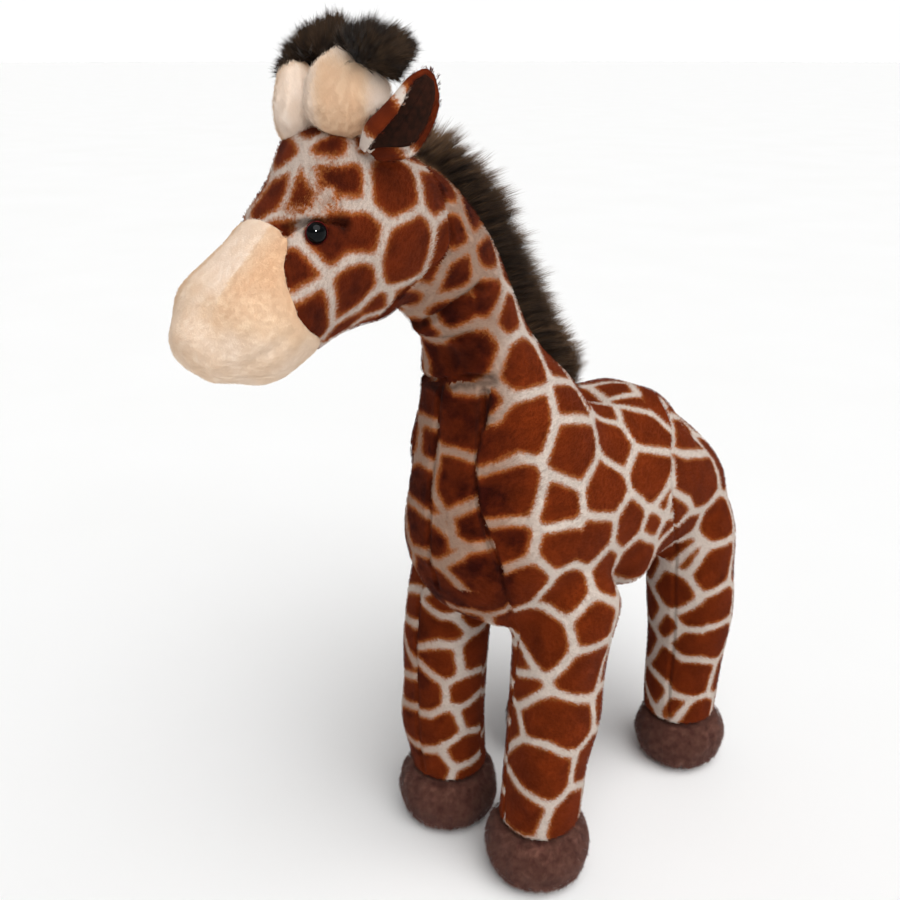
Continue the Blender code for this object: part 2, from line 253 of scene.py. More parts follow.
def largest_part(obj):
    """Keeps only the largest loose part of a mesh."""
    bm = bmesh.new()
    bm.from_mesh(obj.data)
    left = set(bm.verts)
    parts = []
    while left:
        front = [left.pop()]
        part = set(front)
        while front:
            for edge in front.pop().link_edges:
                for vert in edge.verts:
                    if vert in left:
                        left.discard(vert)
                        part.add(vert)
                        front.append(vert)
        parts.append(part)
    parts.sort(key=len)
    stray = [vert for part in parts[:-1] for vert in part]
    bmesh.ops.delete(bm, geom=stray, context="VERTS")
    bm.to_mesh(obj.data)
    bm.free()


SMOOTH_IN = 0.55        # how far a point moves towards its neighbours, and then back out
SMOOTH_OUT = -0.57


def relaxed(mesh, points, rounds):
    """Evens the surface out without shrinking it."""
    ends = np.empty(len(mesh.edges) * 2, np.int32)
    mesh.edges.foreach_get("vertices", ends)
    a, b = ends.reshape(-1, 2).T
    count = len(points)
    near = np.maximum(np.bincount(a, minlength=count) + np.bincount(b, minlength=count), 1)
    for step in range(2 * rounds):
        pull = SMOOTH_OUT if step % 2 else SMOOTH_IN
        total = np.stack([np.bincount(a, points[b, n], count) + np.bincount(b, points[a, n], count)
                          for n in range(3)], axis=1)
        points = points + pull * (total / near[:, None] - points)
    return points


def skinned(obj, grain, softening):
    """Remeshes a closed copy finely and softens its facets."""
    skin = obj.modifiers.new("skin", "REMESH")
    skin.mode = "VOXEL"
    skin.voxel_size = grain
    baked(obj)
    largest_part(obj)
    write_points(obj.data, relaxed(obj.data, read_points(obj.data), softening))
    obj.data.shade_smooth()
    return obj


def refined(obj, paths, reach):
    """Splits the edges near some paths, so that seams and folds press in sharply."""
    points = read_points(obj.data)
    away = np.min([path_distance(points, path) for path in paths], axis=0)
    bm = bmesh.new()
    bm.from_mesh(obj.data)
    close = [edge for edge in bm.edges
             if max(away[edge.verts[0].index], away[edge.verts[1].index]) < reach]
    bmesh.ops.subdivide_edges(bm, edges=close, cuts=1, use_grid_fill=True)
    bmesh.ops.triangulate(bm, faces=[face for face in bm.faces if len(face.verts) > 4])
    bm.to_mesh(obj.data)
    bm.free()
    write_points(obj.data, relaxed(obj.data, read_points(obj.data), 2))


def split_by(obj, point, normal, bend, name):
    """Parts an object along a bent surface into a closed front piece and the closed rest.

    `bend` gives how far back each vertex is moved to make that surface flat for the cut.
    """
    points = read_points(obj.data)
    straight = points.copy()
    straight[:, 1] += bend(points)
    write_points(obj.data, straight)
    front = new_object(name, obj.data.copy())
    for piece, outer in ((front, False), (obj, True)):
        bm = bmesh.new()
        bm.from_mesh(piece.data)
        home = bm.verts.layers.float_vector.new("home")
        for vert, place in zip(bm.verts, points):
            vert[home] = place * MM
        cut = bmesh.ops.bisect_plane(
            bm, geom=[*bm.verts, *bm.edges, *bm.faces], dist=1e-7, plane_co=point,
            plane_no=normal, clear_outer=outer, clear_inner=not outer)
        rim = [e for e in cut["geom_cut"] if isinstance(e, bmesh.types.BMEdge)]
        for vert in bm.verts:
            vert.co = vert[home]
        bmesh.ops.holes_fill(bm, edges=rim, sides=0)
        bm.verts.layers.float_vector.remove(home)
        bm.to_mesh(piece.data)
        bm.free()
        piece.data.shade_smooth()
    return front


def path_distance(points, path):
    """Distance of each point to a polyline."""
    best = np.full(len(points), 1e9)
    corners = [np.array(p, float) for p in path]
    for a, b in zip(corners, corners[1:]):
        along = b - a
        t = np.clip((points - a) @ along / (along @ along), 0.0, 1.0)
        best = np.minimum(best, np.linalg.norm(points - a - t[:, None] * along, axis=1))
    return best


CURVE_STEPS = 5         # points of a smooth path for each of its corners


def smooth_path(corners):
    """Points of a Catmull-Rom curve through a few corners."""
    rows = [np.array(c, float) for c in corners]
    padded = [rows[0], *rows, rows[-1]]
    out = []
    for a, b, c, d in zip(padded, padded[1:], padded[2:], padded[3:]):
        for step in range(CURVE_STEPS):
            t = step / CURVE_STEPS
            out.append(0.5 * (2 * b + (c - a) * t + (2 * a - 5 * b + 4 * c - d) * t * t
                              + (3 * b - a - 3 * c + d) * t ** 3))
    out.append(rows[-1])
    return out


def mirrored(path):
    """The same path on the toy's other side."""
    return [(-x, y, z) for x, y, z in path]


def press(points, normals, path, width, depth, lip):
    """Presses a groove of some width and depth along a path, with raised lips beside it."""
    away = path_distance(points, path) / width
    shape = -depth * np.exp(-away ** 2) + lip * np.exp(-(away - 2.0) ** 2)
    return points + normals * shape[:, None]


def swell(points, normals, centre, radius, height, pull=(0.0, 0.0, 0.0)):
    """Raises a soft bulge, which may also be pulled to one side."""
    away = np.linalg.norm(points - np.array(centre), axis=1) / radius
    share = np.exp(-away ** 2)[:, None]
    return points + share * (normals * height + np.array(pull))


def left_half(points):
    """The points with those of the right side mirrored to the left."""
    return points * np.where(points[:, :1] < 0.0, (-1.0, 1.0, 1.0), 1.0)


def widened(points, heart, share):
    """Moves points level towards or away from a middle."""
    points[:, :2] = heart[:2] + (points[:, :2] - heart[:2]) * np.reshape(share, (-1, 1))


def along_skin(flow, normals):
    """The part of a flow that lies along the skin."""
    return flow - normals * np.sum(flow * normals, axis=1, keepdims=True)


def fractal(points, size, seed):
    """Soft random values from -1 to 1 that change over `size` millimetres."""
    shift = Vector((seed * 17.3, seed * 5.1, seed * 9.7))
    return np.array([noise.noise(Vector(p) / size + shift) for p in points])


# ---- finish -------------------------------------------------------------------------------

def add_node(tree, kind, inputs=None, output=0, **settings):
    """Adds a node with its settings, sets or links its inputs, and gives one of its outputs."""
    node = tree.nodes.new(kind)
    for name, value in settings.items():
        setattr(node, name, value)
    for key, value in (inputs or {}).items():
        socket = node.inputs[key]
        if isinstance(value, bpy.types.NodeSocket):
            tree.links.new(value, socket)
        elif socket.type == "RGBA":
            socket.default_value = (*value, 1.0)
        else:
            socket.default_value = value
    return node if output is None else node.outputs[output]


def give(obj, material):
    """Makes a material an object's only one."""
    obj.data.materials.clear()
    obj.data.materials.append(material)


def hand_over(piece, material=None, replaces=()):
    """Gives a finished piece its material and files it with the frame."""
    if material:
        give(piece, material)
    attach(piece, "root")
    if replaces:
        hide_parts(*replaces)


def unwrap(obj):
    """Unwraps a cover by its own shape."""
    for other in bpy.context.selected_objects:
        other.select_set(False)
    obj.select_set(True)
    bpy.context.view_layer.objects.active = obj
    while obj.data.uv_layers:
        obj.data.uv_layers.remove(obj.data.uv_layers[0])
    obj.data.uv_layers.new(name="OFBake")
    bpy.ops.object.mode_set(mode="EDIT")
    bpy.ops.mesh.select_all(action="SELECT")
    bpy.ops.uv.smart_project(angle_limit=math.radians(66.0), island_margin=0.003)
    bpy.ops.object.mode_set(mode="OBJECT")
    obj.select_set(False)


def settled(cover, points):
    """Sets a cover's shape and unwraps it, and gives its normals."""
    write_points(cover.data, points)
    unwrap(cover)
    return read_normals(cover.data)


# ---- pile ---------------------------------------------------------------------------------

def tuft_object(name, blades, width, spread, lean, curl, seed, rows=2):
    """One tuft of fibres that lean towards +Y, each a narrow strip pointed at both ends.

    Sizes are shares of the pile's length, because the tuft is scaled by it.
    """
    rng = np.random.default_rng(seed)
    verts = []
    faces = []
    along = []
    shade = []
    local = []
    for blade in range(blades):
        turn = 2.0 * math.pi * (blade / blades) + rng.uniform(-0.5, 0.5)
        reach = spread * math.sqrt(rng.uniform(0.1, 1.0))
        place = np.array((math.cos(turn) * reach, math.sin(turn) * reach, 0.0))
        yaw = rng.normal(0.0, 0.3)
        size = rng.uniform(0.72, 1.12)
        start = lean * rng.uniform(0.8, 1.2)
        tone = rng.uniform(0.0, 1.0)
        side = np.array((math.cos(yaw), -math.sin(yaw), 0.0))
        first = len(verts)
        for row in range(rows + 1):
            t = row / rows
            angle = start + curl * t
            if row:
                step = np.array((math.sin(yaw) * math.sin(angle), math.cos(yaw) * math.sin(angle),
                                 math.cos(angle)))
                place = place + step * size / rows
            half = 0.5 * width * (1.15 - 0.6 * t)
            corners = (place,) if row in (0, rows) else (place - side * half, place + side * half)
            for corner in corners:
                verts.append(corner)
                along.append(t)
                shade.append(tone)
                local.append((0.5 + 0.5 * corner[0], 0.5 + 0.5 * corner[1], 0.0))
        last = len(verts) - 1
        faces.append((first, first + 2, first + 1))
        faces.extend((n, n + 1, n + 3, n + 2) for n in range(first + 1, last - 2, 2))
        faces.append((last - 2, last - 1, last))
    mesh = bpy.data.meshes.new(name)
    mesh.from_pydata([tuple(v) for v in verts], [], faces)
    write_attribute(mesh, "along", along)
    write_attribute(mesh, "fibre", shade)
    write_attribute(mesh, "local", np.clip(local, 0.0, 1.0))
    mesh.shade_smooth()
    tuft = new_object(name, mesh)
    tuft.hide_render = True
    return tuft


TUFT_PATCH = 0.003      # width of a tuft's patch on its cover's unwrap


PILE_LAYERS = {
    "region": "INT", "cover": "FLOAT", "pile": "FLOAT", "outward": "FLOAT_VECTOR",
    "comb": "FLOAT_VECTOR", "OFBake": "FLOAT_VECTOR", "root_uv": "FLOAT_VECTOR",
    "local": "FLOAT_VECTOR"}


def pile_tree():
    """Geometry nodes that root one tuft after another on a cover and comb them."""
    tree = bpy.data.node_groups.get("Plush Pile")
    if tree:
        return tree
    tree = bpy.data.node_groups.new("Plush Pile", "GeometryNodeTree")
    sockets = (
        ("Cover", "Geometry"), ("Tuft", "Object"), ("Region", "Int"), ("Tufts", "Float"),
        ("Unruly", "Float"), ("Uneven", "Float"), ("Roundness", "Float"), ("Seed", "Int"),
        ("Finish", "Material"))
    for label, kind in sockets:
        tree.interface.new_socket(label, in_out="INPUT", socket_type="NodeSocket" + kind)
    tree.interface.new_socket("Pile", in_out="OUTPUT", socket_type="NodeSocketGeometry")
    add = partial(add_node, tree)
    given = add("NodeGroupInput", output=None).outputs
    layer = {name: add("GeometryNodeInputNamedAttribute", {"Name": name}, "Attribute",
                       data_type=kind) for name, kind in PILE_LAYERS.items()}

    # one root for each tuft of the region, with its own tone and its place on the unwrap
    here = add("FunctionNodeCompare", {2: layer["region"], 3: given["Region"]},
               data_type="INT", operation="EQUAL")
    density = add("ShaderNodeMath", {0: layer["cover"], 1: given["Tufts"]}, operation="MULTIPLY")
    roots = add("GeometryNodeDistributePointsOnFaces", {
        "Mesh": given["Cover"], "Selection": here, "Density": density, "Seed": given["Seed"]})
    own = add("FunctionNodeRandomValue", {"Seed": given["Seed"]}, 1, data_type="FLOAT")
    for name, value, kind in (("tuft", own, "FLOAT"),
                              ("root_uv", layer["OFBake"], "FLOAT_VECTOR")):
        roots = add("GeometryNodeStoreNamedAttribute",
                    {"Geometry": roots, "Name": name, "Value": value}, data_type=kind,
                    domain="POINT")

    # each tuft stands outwards, combed along the coat and a little astray
    upright = add("FunctionNodeAxesToRotation", {
        "Primary Axis": layer["outward"], "Secondary Axis": layer["comb"]},
        primary_axis="Z", secondary_axis="Y")
    stray = add("FunctionNodeRandomValue", {
        0: (-1.0, -1.0, -1.6), 1: (1.0, 1.0, 1.6), "Seed": given["Seed"]},
        data_type="FLOAT_VECTOR")
    astray = add("ShaderNodeVectorMath", {0: stray, "Scale": given["Unruly"]}, operation="SCALE")
    turned = add("FunctionNodeEulerToRotation", {"Euler": astray})
    pose = add("FunctionNodeRotateRotation", {"Rotation": upright, "Rotate By": turned},
               rotation_space="LOCAL")
    shortest = add("ShaderNodeMath", {0: 1.0, 1: given["Uneven"]}, operation="SUBTRACT")
    longest = add("ShaderNodeMath", {0: 1.0, 1: given["Uneven"]}, operation="ADD")
    next_seed = add("ShaderNodeMath", {0: given["Seed"], 1: 7.0}, operation="ADD")
    longer = add("FunctionNodeRandomValue", {2: shortest, 3: longest, "Seed": next_seed}, 1,
                 data_type="FLOAT")
    size = add("ShaderNodeMath", {0: layer["pile"], 1: longer}, operation="MULTIPLY")
    tuft = add("GeometryNodeObjectInfo", {"Object": given["Tuft"]}, "Geometry",
               transform_space="ORIGINAL")
    planted = add("GeometryNodeInstanceOnPoints", {
        "Points": roots, "Instance": tuft, "Rotation": pose,
        "Scale": add("ShaderNodeCombineXYZ", {0: size, 1: size, 2: size})})
    pile = add("GeometryNodeRealizeInstances", {0: planted})

    # a small patch of the unwrap round each root, and normals rounded outwards
    aside = add("ShaderNodeVectorMath", {0: layer["local"], 1: (0.5, 0.5, 0.0)},
                operation="SUBTRACT")
    offset = add("ShaderNodeVectorMath", {0: aside, "Scale": TUFT_PATCH}, operation="SCALE")
    place = add("ShaderNodeVectorMath", {0: layer["root_uv"], 1: offset}, operation="ADD")
    pile = add("GeometryNodeStoreNamedAttribute",
               {"Geometry": pile, "Name": "OFBake", "Value": place}, data_type="FLOAT2",
               domain="CORNER")
    rounded = add("ShaderNodeVectorMath", {0: layer["outward"], "Scale": given["Roundness"]},
                  operation="SCALE")
    facing = add("ShaderNodeVectorMath", {0: rounded, 1: add("GeometryNodeInputNormal")},
                 operation="ADD")
    normal = add("ShaderNodeVectorMath", {0: facing}, operation="NORMALIZE")
    pile = add("GeometryNodeSetMeshNormal", {"Mesh": pile, "Custom Normal": normal},
               mode="FREE", domain="POINT")
    pile = add("GeometryNodeSetMaterial", {"Geometry": pile, "Material": given["Finish"]})
    add("NodeGroupOutput", {"Pile": pile}, None)
    return tree


def grow(name, cover, tuft, material, tufts, region=0, unruly=0.25, uneven=0.25,
         roundness=1.2, seed=1):
    """Grows the pile of one region of a cover as a plain mesh piece, and files it."""
    bed = new_object(name, cover.data.copy())
    modifier = bed.modifiers.new("pile", "NODES")
    modifier.node_group = pile_tree()
    density = float(tufts * (1.0))
    values = {"Tuft": tuft, "Region": region, "Tufts": density, "Unruly": unruly,
              "Uneven": uneven, "Roundness": roundness, "Seed": seed, "Finish": material}
    for item in modifier.node_group.interface.items_tree:
        if item.in_out == "INPUT" and item.name in values:
            modifier[item.identifier] = values[item.name]
    baked(bed)
    for spare in ("comb", "outward", "root_uv", "local", "region", "cover", "pile"):
        layer = bed.data.attributes.get(spare)
        if layer:
            bed.data.attributes.remove(layer)
    hand_over(bed)


# ---- materials ----------------------------------------------------------------------------

def pile_material(name, roughness=0.9, sheen=0.02):
    """A new material with a matt fibre shader, and its shader node."""
    material = bpy.data.materials.new(name)
    material.use_nodes = True
    tree = material.node_tree
    shader = tree.nodes["Principled BSDF"]
    shader.inputs["Roughness"].default_value = roughness
    shader.inputs["Sheen Weight"].default_value = sheen
    shader.inputs["Sheen Roughness"].default_value = 0.55
    shader.inputs["Specular IOR Level"].default_value = 0.035
    return material, tree, shader


def faded(tree, value, low, high, to_low=0.0, to_high=1.0):
    """A value, or a layer stored on the piece, faded between two levels and clamped."""
    if isinstance(value, str):
        value = add_node(tree, "ShaderNodeAttribute", output="Fac", attribute_name=value)
    return add_node(tree, "ShaderNodeMapRange", {
        "Value": value, "From Min": low, "From Max": high, "To Min": to_low, "To Max": to_high})


def clouds(tree, size_mm, detail=2.0, span=(0.0, 1.0), levels=(0.0, 1.0)):
    """Clouds over the piece in grains of a size in millimetres, faded between two levels."""
    place = add_node(tree, "ShaderNodeTexCoord", output="Object")
    cloud = add_node(tree, "ShaderNodeTexNoise", {
        "Vector": place, "Scale": 1.0 / (size_mm * MM), "Detail": detail}, "Fac")
    return faded(tree, cloud, *span, *levels)


def overlaid(tree, colour, *dyes):
    """A colour with dyes laid over it one after another, each by its own share."""
    for share, dye_colour in dyes:
        colour = add_node(tree, "ShaderNodeMix", {0: share, 6: colour, 7: dye_colour}, 2,
                          data_type="RGBA")
    return colour


def shaded_by(tree, colour, amount):
    """A colour made darker or lighter by an amount."""
    grey = add_node(tree, "ShaderNodeCombineColor", {0: amount, 1: amount, 2: amount})
    return add_node(tree, "ShaderNodeMix", {0: 1.0, 6: colour, 7: grey}, 2,
                    data_type="RGBA", blend_type="MULTIPLY")


def fibre_shading(tree, colour, depth, spread):
    """Darkens the roots of the fibres with painted shade, and varies their tone from fibre to fibre.
    """
    amount = faded(tree, "fibre", 0.0, 1.0, 1.0 - spread, 1.0 + spread)
    # painted shade at the roots, and a random tone for each fibre and tuft
    for other in (faded(tree, "tuft", 0.0, 1.0, 1.0 - 0.6 * spread, 1.0 + 0.6 * spread),
                  faded(tree, "along", 0.0, 0.8, 1.0 - depth, 1.0)):
        amount = add_node(tree, "ShaderNodeMath", {0: amount, 1: other}, operation="MULTIPLY")
    return shaded_by(tree, colour, amount)


def add_pile_bump(tree, shader, size_mm, strength):
    """Fine bump of the pile between the tufts."""
    bump = add_node(tree, "ShaderNodeBump", {
        "Height": clouds(tree, size_mm, 3.0), "Strength": strength, "Distance": 0.5 * MM})
    tree.links.new(bump, shader.inputs["Normal"])


def dye(tree, shader, colour, fibres=None, bump=None):
    """Gives a shader its colour, with the fibres' shading or the bump between tufts."""
    if fibres:
        colour = fibre_shading(tree, colour, *fibres)
    if bump:
        add_pile_bump(tree, shader, *bump)
    tree.links.new(colour, shader.inputs["Base Color"])


def two_toned(name, colours, grain, spots=(0.3, 0.7), fibres=None, bump=None, **surface):
    """A material whose colour drifts between two tones, in grains of some millimetres."""
    material, tree, shader = pile_material(name, **surface)
    low, high = map(linear, colours)
    dye(tree, shader, overlaid(tree, low, (clouds(tree, *grain, spots), high)), fibres, bump)
    return material, shader


def patched_plush(fibres):
    """Printed polyester plush: short velvety pile, rust patches that fade softly into cream, with
    painted shade on the front, on its lines there and along the seams and folds.
    """
    marks = bpy.context.scene.giraffe_marking
    name = "patched_polyester_pile" if fibres else "patched_polyester_plush"
    material, tree, shader = pile_material(name)
    add = partial(add_node, tree)
    border, fuzz, tone, warm = (add("ShaderNodeAttribute", output="Fac", attribute_name=layer)
                                for layer in ("mark", "fuzz", "tone", "warm"))

    # the border wanders from grain to grain, most where the print is ruffled
    grains = add("ShaderNodeMath", {0: clouds(tree, 1.3, 3.0, (0.3, 0.7), (-0.55, 0.55)),
                                    1: clouds(tree, 4.5, 2.0, (0.3, 0.7), (-0.35, 0.35))},
                 operation="ADD")
    ruffle = add("ShaderNodeMath", {0: fuzz, 1: 1.0}, operation="ADD")
    place = add("ShaderNodeMath", {0: grains, 1: ruffle, 2: border}, operation="MULTIPLY_ADD")
    if fibres:
        single = faded(tree, "fibre", 0.0, 1.0, -0.75, 0.75)
        place = add("ShaderNodeMath", {0: place, 1: single}, operation="ADD")

    # each patch is blotched and darkest in its middle, with a tan edge; its darkness is partly the
    # print's and partly painted shade
    dark = add("ShaderNodeMath", {0: tone, 1: faded(tree, border, 1.0, 4.5)},
               operation="MULTIPLY")
    dark = add("ShaderNodeMath", {0: dark, 1: clouds(tree, 9.0, 2.0, (0.35, 0.65), (0.62, 1.0))},
               operation="MULTIPLY")
    patch = overlaid(tree, tuple(marks.patch_colour), (dark, tuple(marks.deep_colour)))
    patch = shaded_by(tree, patch, clouds(tree, 13.0, 3.0, (0.35, 0.65), (0.86, 1.12)))
    brown = overlaid(tree, tuple(marks.edge_colour), (faded(tree, place, 0.4, 2.8), patch))
    # the lines turn tan under painted shade on the front, and also on the head and where the print is
    # ruffled
    line = overlaid(tree, tuple(marks.line_colour), (warm, tuple(marks.shaded_line_colour)))
    colour = overlaid(tree, line, (faded(tree, place, -1.0, 0.9), brown))
    # painted shade darkens the colour along the seams and folds
    colour = shaded_by(tree, colour, faded(tree, "crease", 0.0, 1.0, 1.0, 0.35))
    dye(tree, shader, colour, (0.3, 0.13) if fibres else None, None if fibres else (0.9, 0.6))
    return material


def cream_plush(fibres):
    """Cream polyester plush with a peach tint: short, soft and a little ruffled."""
    name = "cream_polyester_pile" if fibres else "cream_polyester_plush"
    material, tree, shader = pile_material(name)
    tone = add_node(tree, "ShaderNodeAttribute", output="Fac", attribute_name="tone")
    amount = add_node(tree, "ShaderNodeMath", {
        0: tone, 1: clouds(tree, 14.0, 1.0, (0.35, 0.65), (-0.06, 0.06))}, operation="ADD")
    colour = overlaid(tree, linear("#f6e7d9"),
                      (faded(tree, amount, 0.0, 0.45), linear("#e4c6a7")),
                      (faded(tree, amount, 0.45, 1.0), linear("#dcb089")))
    dye(tree, shader, colour, (0.06, 0.02) if fibres else None, None if fibres else (0.9, 0.5))
    return material


def foot_plush(fibres):
    """Mauve brown polyester plush of medium length that parts in small tufts."""
    return two_toned("mauve_brown_pile" if fibres else "mauve_brown_plush",
                     ("#54312a", "#724c40"), (6.0, 3.0), sheen=0.1,
                     fibres=(0.25, 0.08) if fibres else None,
                     bump=None if fibres else (1.6, 0.8))[0]


def dark_pile(fibres, name="dark_acrylic_fur", colours=("#4a331d", "#6e533a")):
    """Dark brown faux fur: long acrylic fibres, darkened to nearly black at their roots by painted
    shade.
    """
    return two_toned(name, colours, (7.0, 2.0), roughness=0.62, sheen=0.1,
                     fibres=(0.5, 0.25) if fibres else None,
                     bump=None if fibres else (1.0, 0.8))[0]


def ear_velour():
    """Dark brown knitted velour that lines the ears: very short and even, with a soft sheen."""
    return two_toned("dark_brown_velour", ("#1f1009", "#33190f"), (3.0, 3.0), bump=(0.5, 0.5))[0]


def eye_plastic():
    """Polished moulded acrylic: black, clear and very glossy, with faint moulding marks."""
    material, shader = two_toned("black_moulded_acrylic", ("#030405", "#07090b"), (4.0, 2.0),
                                 (0.4, 0.6), roughness=0.03, sheen=0.0)
    shader.inputs["Specular IOR Level"].default_value = 0.5
    shader.inputs["IOR"].default_value = 1.22
    return material


def eye_rim_plastic():
    """Dark red brown moulded rim behind the eye, less polished than the dome."""
    return two_toned("red_brown_moulded_rim", ("#5a0f10", "#3a0c0b"), (1.0, 2.0), (0.4, 0.6),
                     roughness=0.3, sheen=0.0)[0]


# ---- the body's cover -------------------------------------------------------------------

# fold over each eye, from the muzzle's seam backwards: outward, back and up from the eye
BROW_FOLD = ((-8.5, -12, 1.4), (-6.5, -8.2, 3), (-4.4, -4.2, 4.1), (-2.1, -0.2, 4.6),
             (0.3, 3.4, 4.8), (2.9, 8.8, 4.2), (5.5, 13.5, 2.7))

# seam between head and neck on the left side, from under the jaw up to the poll
NECK_SEAM = ((12, -122, 419), (26, -120, 427), (30, -104, 435), (31, -91, 443),
             (32, -86, 452), (30, -86, 466), (24, -87, 478), (12, -88, 488))

# seam between the chest panel and the side panel, from the dart down the front leg
CHEST_SEAM = ((28, -59, 364), (25.5, -60, 333), (24, -60, 322), (27.5, -62, 296),
              (35, -61, 278), (42, -57, 255))
FAR_LEG_SEAM = ((-42, -57, 255), (-43, -50, 232), (-44, -40, 200), (-45, -38, 150),
                (-43, -44, 80), (-42, -46, 52))
DART = ((28.5, -58, 362), (28, -58.5, 353), (27, -59, 343))

# folds round the throat, from the front round to the left side
THROAT_FOLDS = (
    (((0, -84, 402), (16, -81, 408), (25, -75, 416), (30, -62, 424)), 2.4, 1.8),
    (((0, -76, 389), (16, -72, 391), (25, -66, 396)), 2, 1.3),
)
NECK_FOLD = ((-34, -46, 364), (-22, -60, 361.5), (-10, -68, 362), (0, -70, 364.5),
             (12, -68.5, 367.5), (22, -63, 369.5), (31, -54, 370.5))
HIND_SEAM = ((30, 122, 318), (43, 115, 306), (60, 93, 291), (67.5, 86.5, 270),
             (67.7, 91, 247), (60, 108, 222), (50, 124, 205), (50, 126, 180),
             (50.6, 129, 145), (49, 133, 88), (50, 136, 50))
NEAR_LEG_SEAM = ((42, -57, 255), (40, -46, 223), (34, -36, 203), (30, -28, 185),
                 (29, -27, 156), (27, -27, 123), (28, -31, 94), (30, -36, 64), (31, -39, 50))
CENTRE_SEAM = ((0, -70, 363), (0, -68, 342), (0, -66, 320), (0, -74, 290), (0, -78, 262),
               (0, -70, 230))
MOUTH_CREASE = ((0, -231, 406), (14, -225, 405.5), (24, -213, 409), (33, -203, 417),
                (36, -190, 424))
GUSSET_SEAM = ((9, -190, 466), (11, -203, 459), (13, -216, 449), (15, -227, 436),
               (14, -231, 424), (13, -230, 412), (16, -224, 404))

# how far each eye is sewn from its solid's middle, in millimetres
EYE_SHIFT = {"left": (0, 0, -1.2), "right": (2.2, 2, -1.2)}


def seam_plane(front, back):
    """The plane of the sewn gap between two neighbouring nodes."""
    a = read_points(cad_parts[front].data)
    b = read_points(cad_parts[back].data)
    near = []
    for point in a:
        away = np.linalg.norm(b - point, axis=1)
        if away.min() < 0.6:
            near.append(0.5 * (point + b[away.argmin()]))
    near = np.array(near)
    centre = near.mean(axis=0)
    normal = np.linalg.svd(near - centre)[2][2]
    if normal @ (a.mean(axis=0) - centre) < 0.0:
        normal = -normal
    return centre, normal


# where the stuffing swells or sinks on both sides: place, radius, height, all in millimetres
STUFFING = (
    ((0, -151, 500), 17, 5.5),          # forehead
    ((17, -144, 499), 14, 6.5),
    ((0, -174, 482), 14, -2),
    ((6, -212, 456), 18, -1.8),         # muzzle
    ((8, -205, 402), 20, -2),
    ((0, -88, 412), 10, 1.5),           # throat
    ((0, -80, 399), 8, 4.5),
    ((0, -74, 378), 12, -6),
    ((12, -70, 374), 12, -3.5),
    ((13, -73, 380), 18, -6),
    ((11, -62, 338), 18, 2),            # chest
    ((11, -62, 307), 24, 8),
    ((26, -58, 256), 16, 3),
    ((26, -50, 318), 18, 4.5),
    ((0, -236, 425), 15, 3.5),          # nose
    ((0, -226, 402), 13, -1.5),
    ((66, -40, 150), 38, 3.2),          # front legs
    ((66, -44, 88), 27, 7),
    ((22, -30, 200), 15, 5),
    ((70, 22, 212), 15, 4.5),
    ((78, 4, 160), 28, -7),
    ((77, 2, 90), 30, -5.4),
    ((46, 64, 220), 20, 12),            # belly before the thigh
    ((0, 72, 329), 18, -10),            # back and rump
    ((0, 112, 322), 20, 1.5),
    ((20, 124, 310), 18, 5),
    ((36, 160, 290), 24, -9),
    ((36, 132, 115), 30, -3.5),
    ((70, 182, 225), 26, 3.6),          # thigh and hind legs
    ((72, 178, 140), 34, 4),
)


def seam_bend(points):
    """How far ahead of its flat plane the muzzle's seam runs: over the cheeks, less over the nose.

    All below the head is moved far back, so that the cut leaves it whole.
    """
    x, z = np.abs(points[:, 0]), points[:, 2]
    cheek = ease(x, 15.0, 29.0) * np.interp(
        z, (412.0, 420.0, 430.0, 440.0, 452.0, 470.0), (0.0, 8.0, 14.0, 12.0, 8.0, 0.0))
    bridge = 6.5 * ease(x, 26.0, 18.0) * ease(z, 448.0, 460.0)
    return cheek - bridge + 500.0 * (z < 380.0)


def ahead_of_seam(points, seam):
    """How far ahead of the muzzle's bent seam each point is."""
    centre, facing = seam
    return (points + seam_bend(points)[:, None] * (0.0, 1.0, 0.0) - centre) @ facing


def laid(path, points, normals):
    """A smooth path moved onto the skin."""
    line = []
    for corner in smooth_path(path):
        near = np.linalg.norm(points - corner, axis=1).argmin()
        line.append(corner + normals[near] * ((points[near] - corner) @ normals[near]))
    return line


def creases(points, normals):
    """Every pressed line on both sides, laid onto the skin: path, width, depth in seam depths."""
    eye = middle("eye_left") + np.array(EYE_SHIFT["left"])
    rows = [(NECK_FOLD, 2.3, 2.6), (CENTRE_SEAM, 1.6, 0.8), (NEAR_LEG_SEAM, 1.5, 0.6),
            (FAR_LEG_SEAM, 1.5, 0.45)]
    brow = [tuple(eye + np.array(step)) for step in BROW_FOLD]
    for path, width, depth in ((NECK_SEAM, 1.5, 0.8), (CHEST_SEAM, 1.6, 1.2),
                               (HIND_SEAM, 1.5, 0.5), (DART, 1.9, 1.9), (brow, 1.7, 2.5),
                               *THROAT_FOLDS):
        rows += [(path, width, depth), (mirrored(path), width, depth)]
    return [(laid(path, points, normals), width, depth) for path, width, depth in rows]


def sculpt_body(points, normals, depths):
    """Sewn seams, folds and the brow, pressed and swollen into the stuffed body."""
    for side, mirror in SIDES.items():
        sided = np.array((mirror, 1.0, 1.0))
        for place, radius, height in STUFFING:
            share = 1.0 if place[0] else 0.5
            points = swell(points, normals, np.array(place) * sided, radius, height * share)
        eye = middle("eye_" + side) + np.array(EYE_SHIFT[side])
        lid = 1.0 if side == "left" else 0.4
        for step, radius, height, pull in (
                ((-3.0, -5.0, 10.0), 7.0, 5.0 * lid, (0.8, -1.0 * lid, -3.8)),     # brow
                ((1.0, 5.0, 11.0), 8.0, 4.8 * lid, (0.8, 0.0, -3.4)),
                ((0.0, 0.0, 0.0), 5.5, -1.3, (0.0, 0.0, 0.0)),                     # socket
                ((1.0, 8.0, -14.0), 13.0, 1.4, (0.0, 0.0, 0.0))):                  # cheek
            points = swell(points, normals, eye + np.array(step) * sided, radius, height,
                           np.array(pull) * sided)
    for path, width, depth in creases(points, normals):
        points = press(points, normals, path, width, depth * depths.seam_depth / MM, 0.25)
    return points


